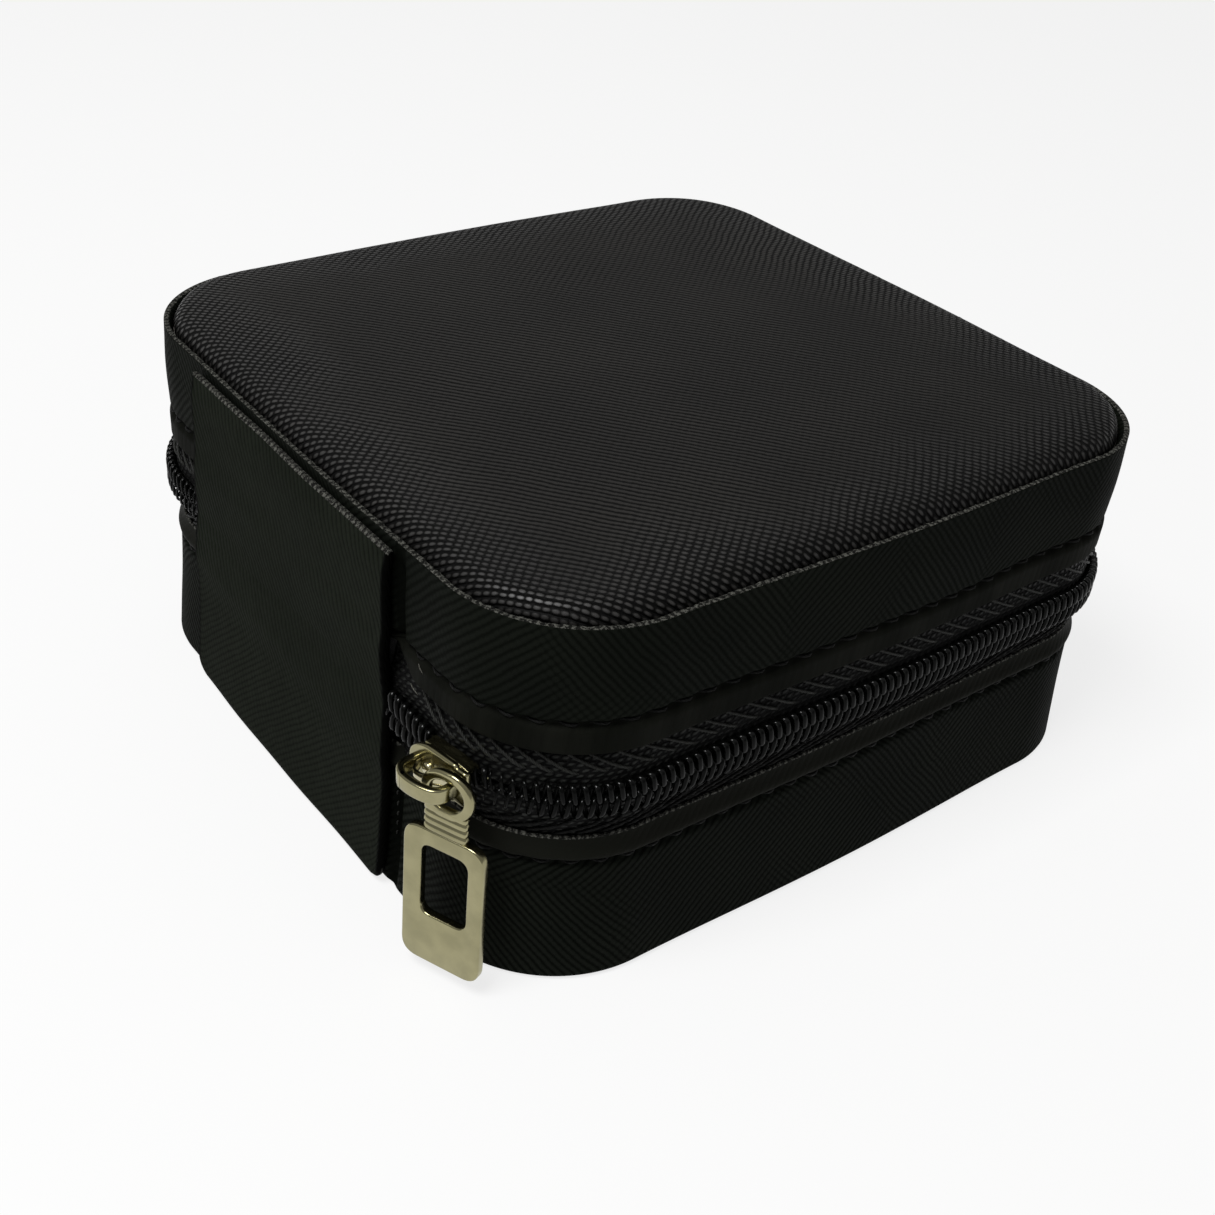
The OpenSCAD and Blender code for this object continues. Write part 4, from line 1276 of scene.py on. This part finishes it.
def tongue(half, low, high):
    """Outline of a strap with one square end and one round end, drawn in by a distance."""
    def shape(inset):
        a = np.linspace(0, np.pi, 18)
        r = half - inset
        top = np.stack([r * np.cos(a), high - half + r * np.sin(a)], -1)
        foot = [(-r, low + inset), (r, low + inset), (r, high - half)]
        foot = soften(foot, [0.6, 0.6, 0.1], 4, closed=False)
        return np.concatenate([foot[1:-1], top])
    return shape


def strap_stitches(name, body, x, y, low):
    """Stitches under a strap at the places x, y: each dips into the leather at its two ends."""
    dip = 0.16 * np.abs(np.linspace(-1, 1, x.shape[1])) ** 4
    path = points_of(x, y, low - 0.06 + dip)
    down = np.broadcast_to([0.0, 0.0, -1.0], path.shape)
    build(name, [tube(path, down, 0.13, lobes=2, turns=2)], [BLACK_THREAD], body)


SNAP_CAP = [(0.0, 0.8), (1.2, 0.78), (2.1, 0.62), (2.6, 0.3), (2.8, 0.12), (2.75, 0.0), (0.0, 0.0)]
SNAP_POST = [(0.0, 1.1), (0.9, 1.1), (1.15, 0.95), (1.0, 0.7), (0.95, 0.4), (1.7, 0.3), (1.8, 0.15),
             (1.8, 0.0), (0.0, 0.0)]


def chain_hook(number):
    """Leather tongue with an edge stitch and a domed snap cap."""
    node = f"chain_hook_{number}"
    body = f"hook_{number}"
    low, high = reach(node)
    x = 0.5 * (low[0] + high[0])
    half = 0.5 * (high[0] - low[0])
    leather = plate(flat_bench(x, high[2]), tongue(half, low[1], high[1]), 0.0, high[2] - low[2], 0.4)
    build(f"hook_tongue_{number}", [leather], [FLAT], body, [node])
    a = np.linspace(0, np.pi, 200)
    r = half - 1.0
    arc = np.stack([x + r * np.cos(a), high[1] - half + r * np.sin(a)], -1)
    line = evenly(np.concatenate([[[x + r, low[1] + 1.2]], arc, [[x - r, low[1] + 1.2]]]), 0.2)
    count = len(line) // 9
    stitches = line[:count * 9].reshape(count, 9, 2)[:, :8]
    strap_stitches(f"hook_stitches_{number}", body, stitches[..., 0], stitches[..., 1], low[2])
    cap_low, cap_high = reach(f"snap_cap_{number}")
    cap = spun(flat_bench(0, cap_high[2]), (x, 0.5 * (cap_low[1] + cap_high[1])), SNAP_CAP, 40)
    build(f"snap_cap_dome_{number}", [cap], [NICKEL], body, [f"snap_cap_{number}"], 50)


for number in (1, 2, 3):
    chain_hook(number)


def snap_posts():
    """The studs' posts under the lid, one for each hook."""
    low, high = reach("snap_studs")
    side = high[0] - SNAP_POST[-2][0]
    y = 0.5 * (low[1] + high[1])
    posts = [spun(flat_bench(0, high[2]), (x, y), SNAP_POST, 40) for x in (-side, 0, side)]
    build("snap_stud_posts", posts, [NICKEL], "lid", ["snap_studs"], 50)


snap_posts()


def hook_strip():
    """Leather strip that the tongues fold from, with a row of stitches along it."""
    low, high = reach("hook_strip")
    strip = plate(flat_bench(0.0, high[2]), inset_box(low, high, 0.8), 0.0, high[2] - low[2], 0.45)
    build("hook_strip_leather", [strip], [FLAT], "lid", ["hook_strip"])
    starts = np.arange(low[0] + 1.5, high[0] - 3, 2.4)
    x = starts[:, None] + np.linspace(0, 1.8, 8)[None]
    strap_stitches("hook_strip_stitches", "lid", x, 0.5 * (low[1] + high[1]), low[2])


hook_strip()


def pocket():
    """Gathered pocket: the cloth is fuller than its seam, so it folds along y, more at the mouth."""
    low, high = reach("lid_pocket")
    x = np.linspace(low[0], high[0], 260)
    y = np.linspace(low[1], high[1], 44)
    across = x[:, None]
    share = (y[None] - low[1]) / (high[1] - low[1])
    puff = np.sin(np.pi * np.clip((across - low[0]) / (high[0] - low[0]), 0, 1)) ** 0.35
    folds = ripple(across + 1.2 * np.sin(y[None] / 9), 67, (4.1, 0.5), (6.7, 0.35), (2.7, 0.2))
    belly = 5.6 * puff * (1 - share ** 3.2) + 0.5
    z = high[2] - belly - folds * 0.55 * (1 - 0.75 * share) * puff - 0.55
    front = points_of(across, y[None], z)
    rings = np.concatenate([front, front[:, ::-1] + [0, 0, 0.3]], 1)
    cloth = build("lid_pocket_cloth", [loop_solid(rings)], [VELVET], "lid", ["lid_pocket"])
    mouth = np.linspace(low[1] - 0.1, low[1] + 5.0, 18)
    shirr = 0.22 * ripple(across, 71, (1.9, 1.0), (2.6, 0.6)) * np.sin(np.pi * np.linspace(0, 1, 18))[None]
    ridges = 0.12 * np.abs(np.sin(np.linspace(0, 4 * np.pi, 18)))[None]
    over = read_off(mouth, y, z.T).T
    outer = points_of(across, mouth[None], over - 0.5 - shirr - ridges)
    inner = points_of(across, mouth[None], over - 0.1)
    rings = np.concatenate([outer, inner[:, ::-1]], 1)
    build("pocket_elastic_hem", [loop_solid(rings)], [VELVET], "lid", ["pocket_elastic"])


pocket()

# ---------------------------------------------------------------- nodes of the frame that stay

for name, finish in (("base_shell", BOARD), ("lid_shell", BOARD), ("lid_foam", FOAM),
                     ("base_bottom_panel", FLAT)):
    node = frame["nodes"][name]
    node.data.materials.clear()
    node.data.materials.append(finish.material)

# ---------------------------------------------------------------- floor, light and camera

CAMERA_ANGLES = (229.8633, 33.9479, 5.7533)
CAMERA_PLACE = (-0.14582, 0.124695, 0.138096)
CAMERA_REACH = 1544.6157 / 1215
SENSOR = 36.0


def paper():
    """Pale paper, lifted toward white where it is only looked at, so that it keeps the shadow."""
    finish = Finish("paper", Roughness=0.9, Specular_IOR_Level=0.0)
    vector, *_ = finish.place()
    clouds = finish.noise(vector, 60.0)
    finish.feed("Base Color", finish.blend(clouds, (0.93, 0.93, 0.925), (0.95, 0.95, 0.945)))
    looks = [finish.node("ShaderNodeLightPath", output=f"Is {ray} Ray")
             for ray in ("Camera", "Glossy", "Transmission")]
    seen = looks[0].larger(looks[1]).larger(looks[2])
    white = finish.node("ShaderNodeEmission", (), {"Color": (1, 1, 1, 1), "Strength": 1.0})
    lit = Value(finish, finish.shader.outputs[0])
    finish.show(finish.node("ShaderNodeMixShader", (), {0: seen * 0.78, 1: lit, 2: white}))
    return finish


def floor():
    """Sheet of paper, 8 m square and a fifth of a millimetre under the case."""
    size, z = 4.0, -0.0002
    mesh = bpy.data.meshes.new("floor")
    mesh.from_pydata([(-size, -size, z), (size, -size, z), (size, size, z), (-size, size, z)], [],
                     [(0, 1, 2, 3)])
    mesh.materials.append(paper().material)
    piece = bpy.data.objects.new("floor", mesh)
    bpy.context.scene.collection.objects.link(piece)


def softbox(name, place, aim, size, watts):
    """Square lamp at a place, turned to look at the aim, in metres."""
    data = bpy.data.lights.new(name, "AREA")
    data.size = size
    data.energy = watts
    lamp = bpy.data.objects.new(name, data)
    lamp.location = place
    lamp.rotation_euler = (Vector(aim) - Vector(place)).to_track_quat("-Z", "Y").to_euler()
    bpy.context.scene.collection.objects.link(lamp)


def sky(strength):
    """Even white light from all round."""
    world = bpy.data.worlds.new("studio")
    world.use_nodes = True
    background = world.node_tree.nodes["Background"]
    background.inputs["Color"].default_value = (1, 1, 1, 1)
    background.inputs["Strength"].default_value = strength
    bpy.context.scene.world = world


def camera():
    """The camera stands off the slider's corner and looks down on the lid, a little rolled."""
    azimuth, elevation, roll = (math.radians(a) for a in CAMERA_ANGLES)
    back = Vector((math.sin(azimuth) * math.cos(elevation), -math.cos(azimuth) * math.cos(elevation),
                   math.sin(elevation)))
    right = Vector((math.cos(azimuth), math.sin(azimuth), 0))
    up = back.cross(right)
    across = right * math.cos(roll) + up * math.sin(roll)
    upward = up * math.cos(roll) - right * math.sin(roll)
    data = bpy.data.cameras.new("camera")
    data.sensor_width = SENSOR
    data.lens = SENSOR * CAMERA_REACH
    data.clip_start = 0.005
    data.clip_end = 20.0
    eye = bpy.data.objects.new("camera", data)
    turn = Matrix((across, upward, back)).transposed().to_4x4()
    eye.matrix_world = Matrix.Translation(CAMERA_PLACE) @ turn
    bpy.context.scene.collection.objects.link(eye)
    bpy.context.scene.camera = eye


floor()
sky(0.33)
softbox("overhead", (-0.05, 0.34, 0.68), (0, 0, 0.03), 0.3, 3.9)
camera()
bpy.context.scene.view_settings.view_transform = "Standard"
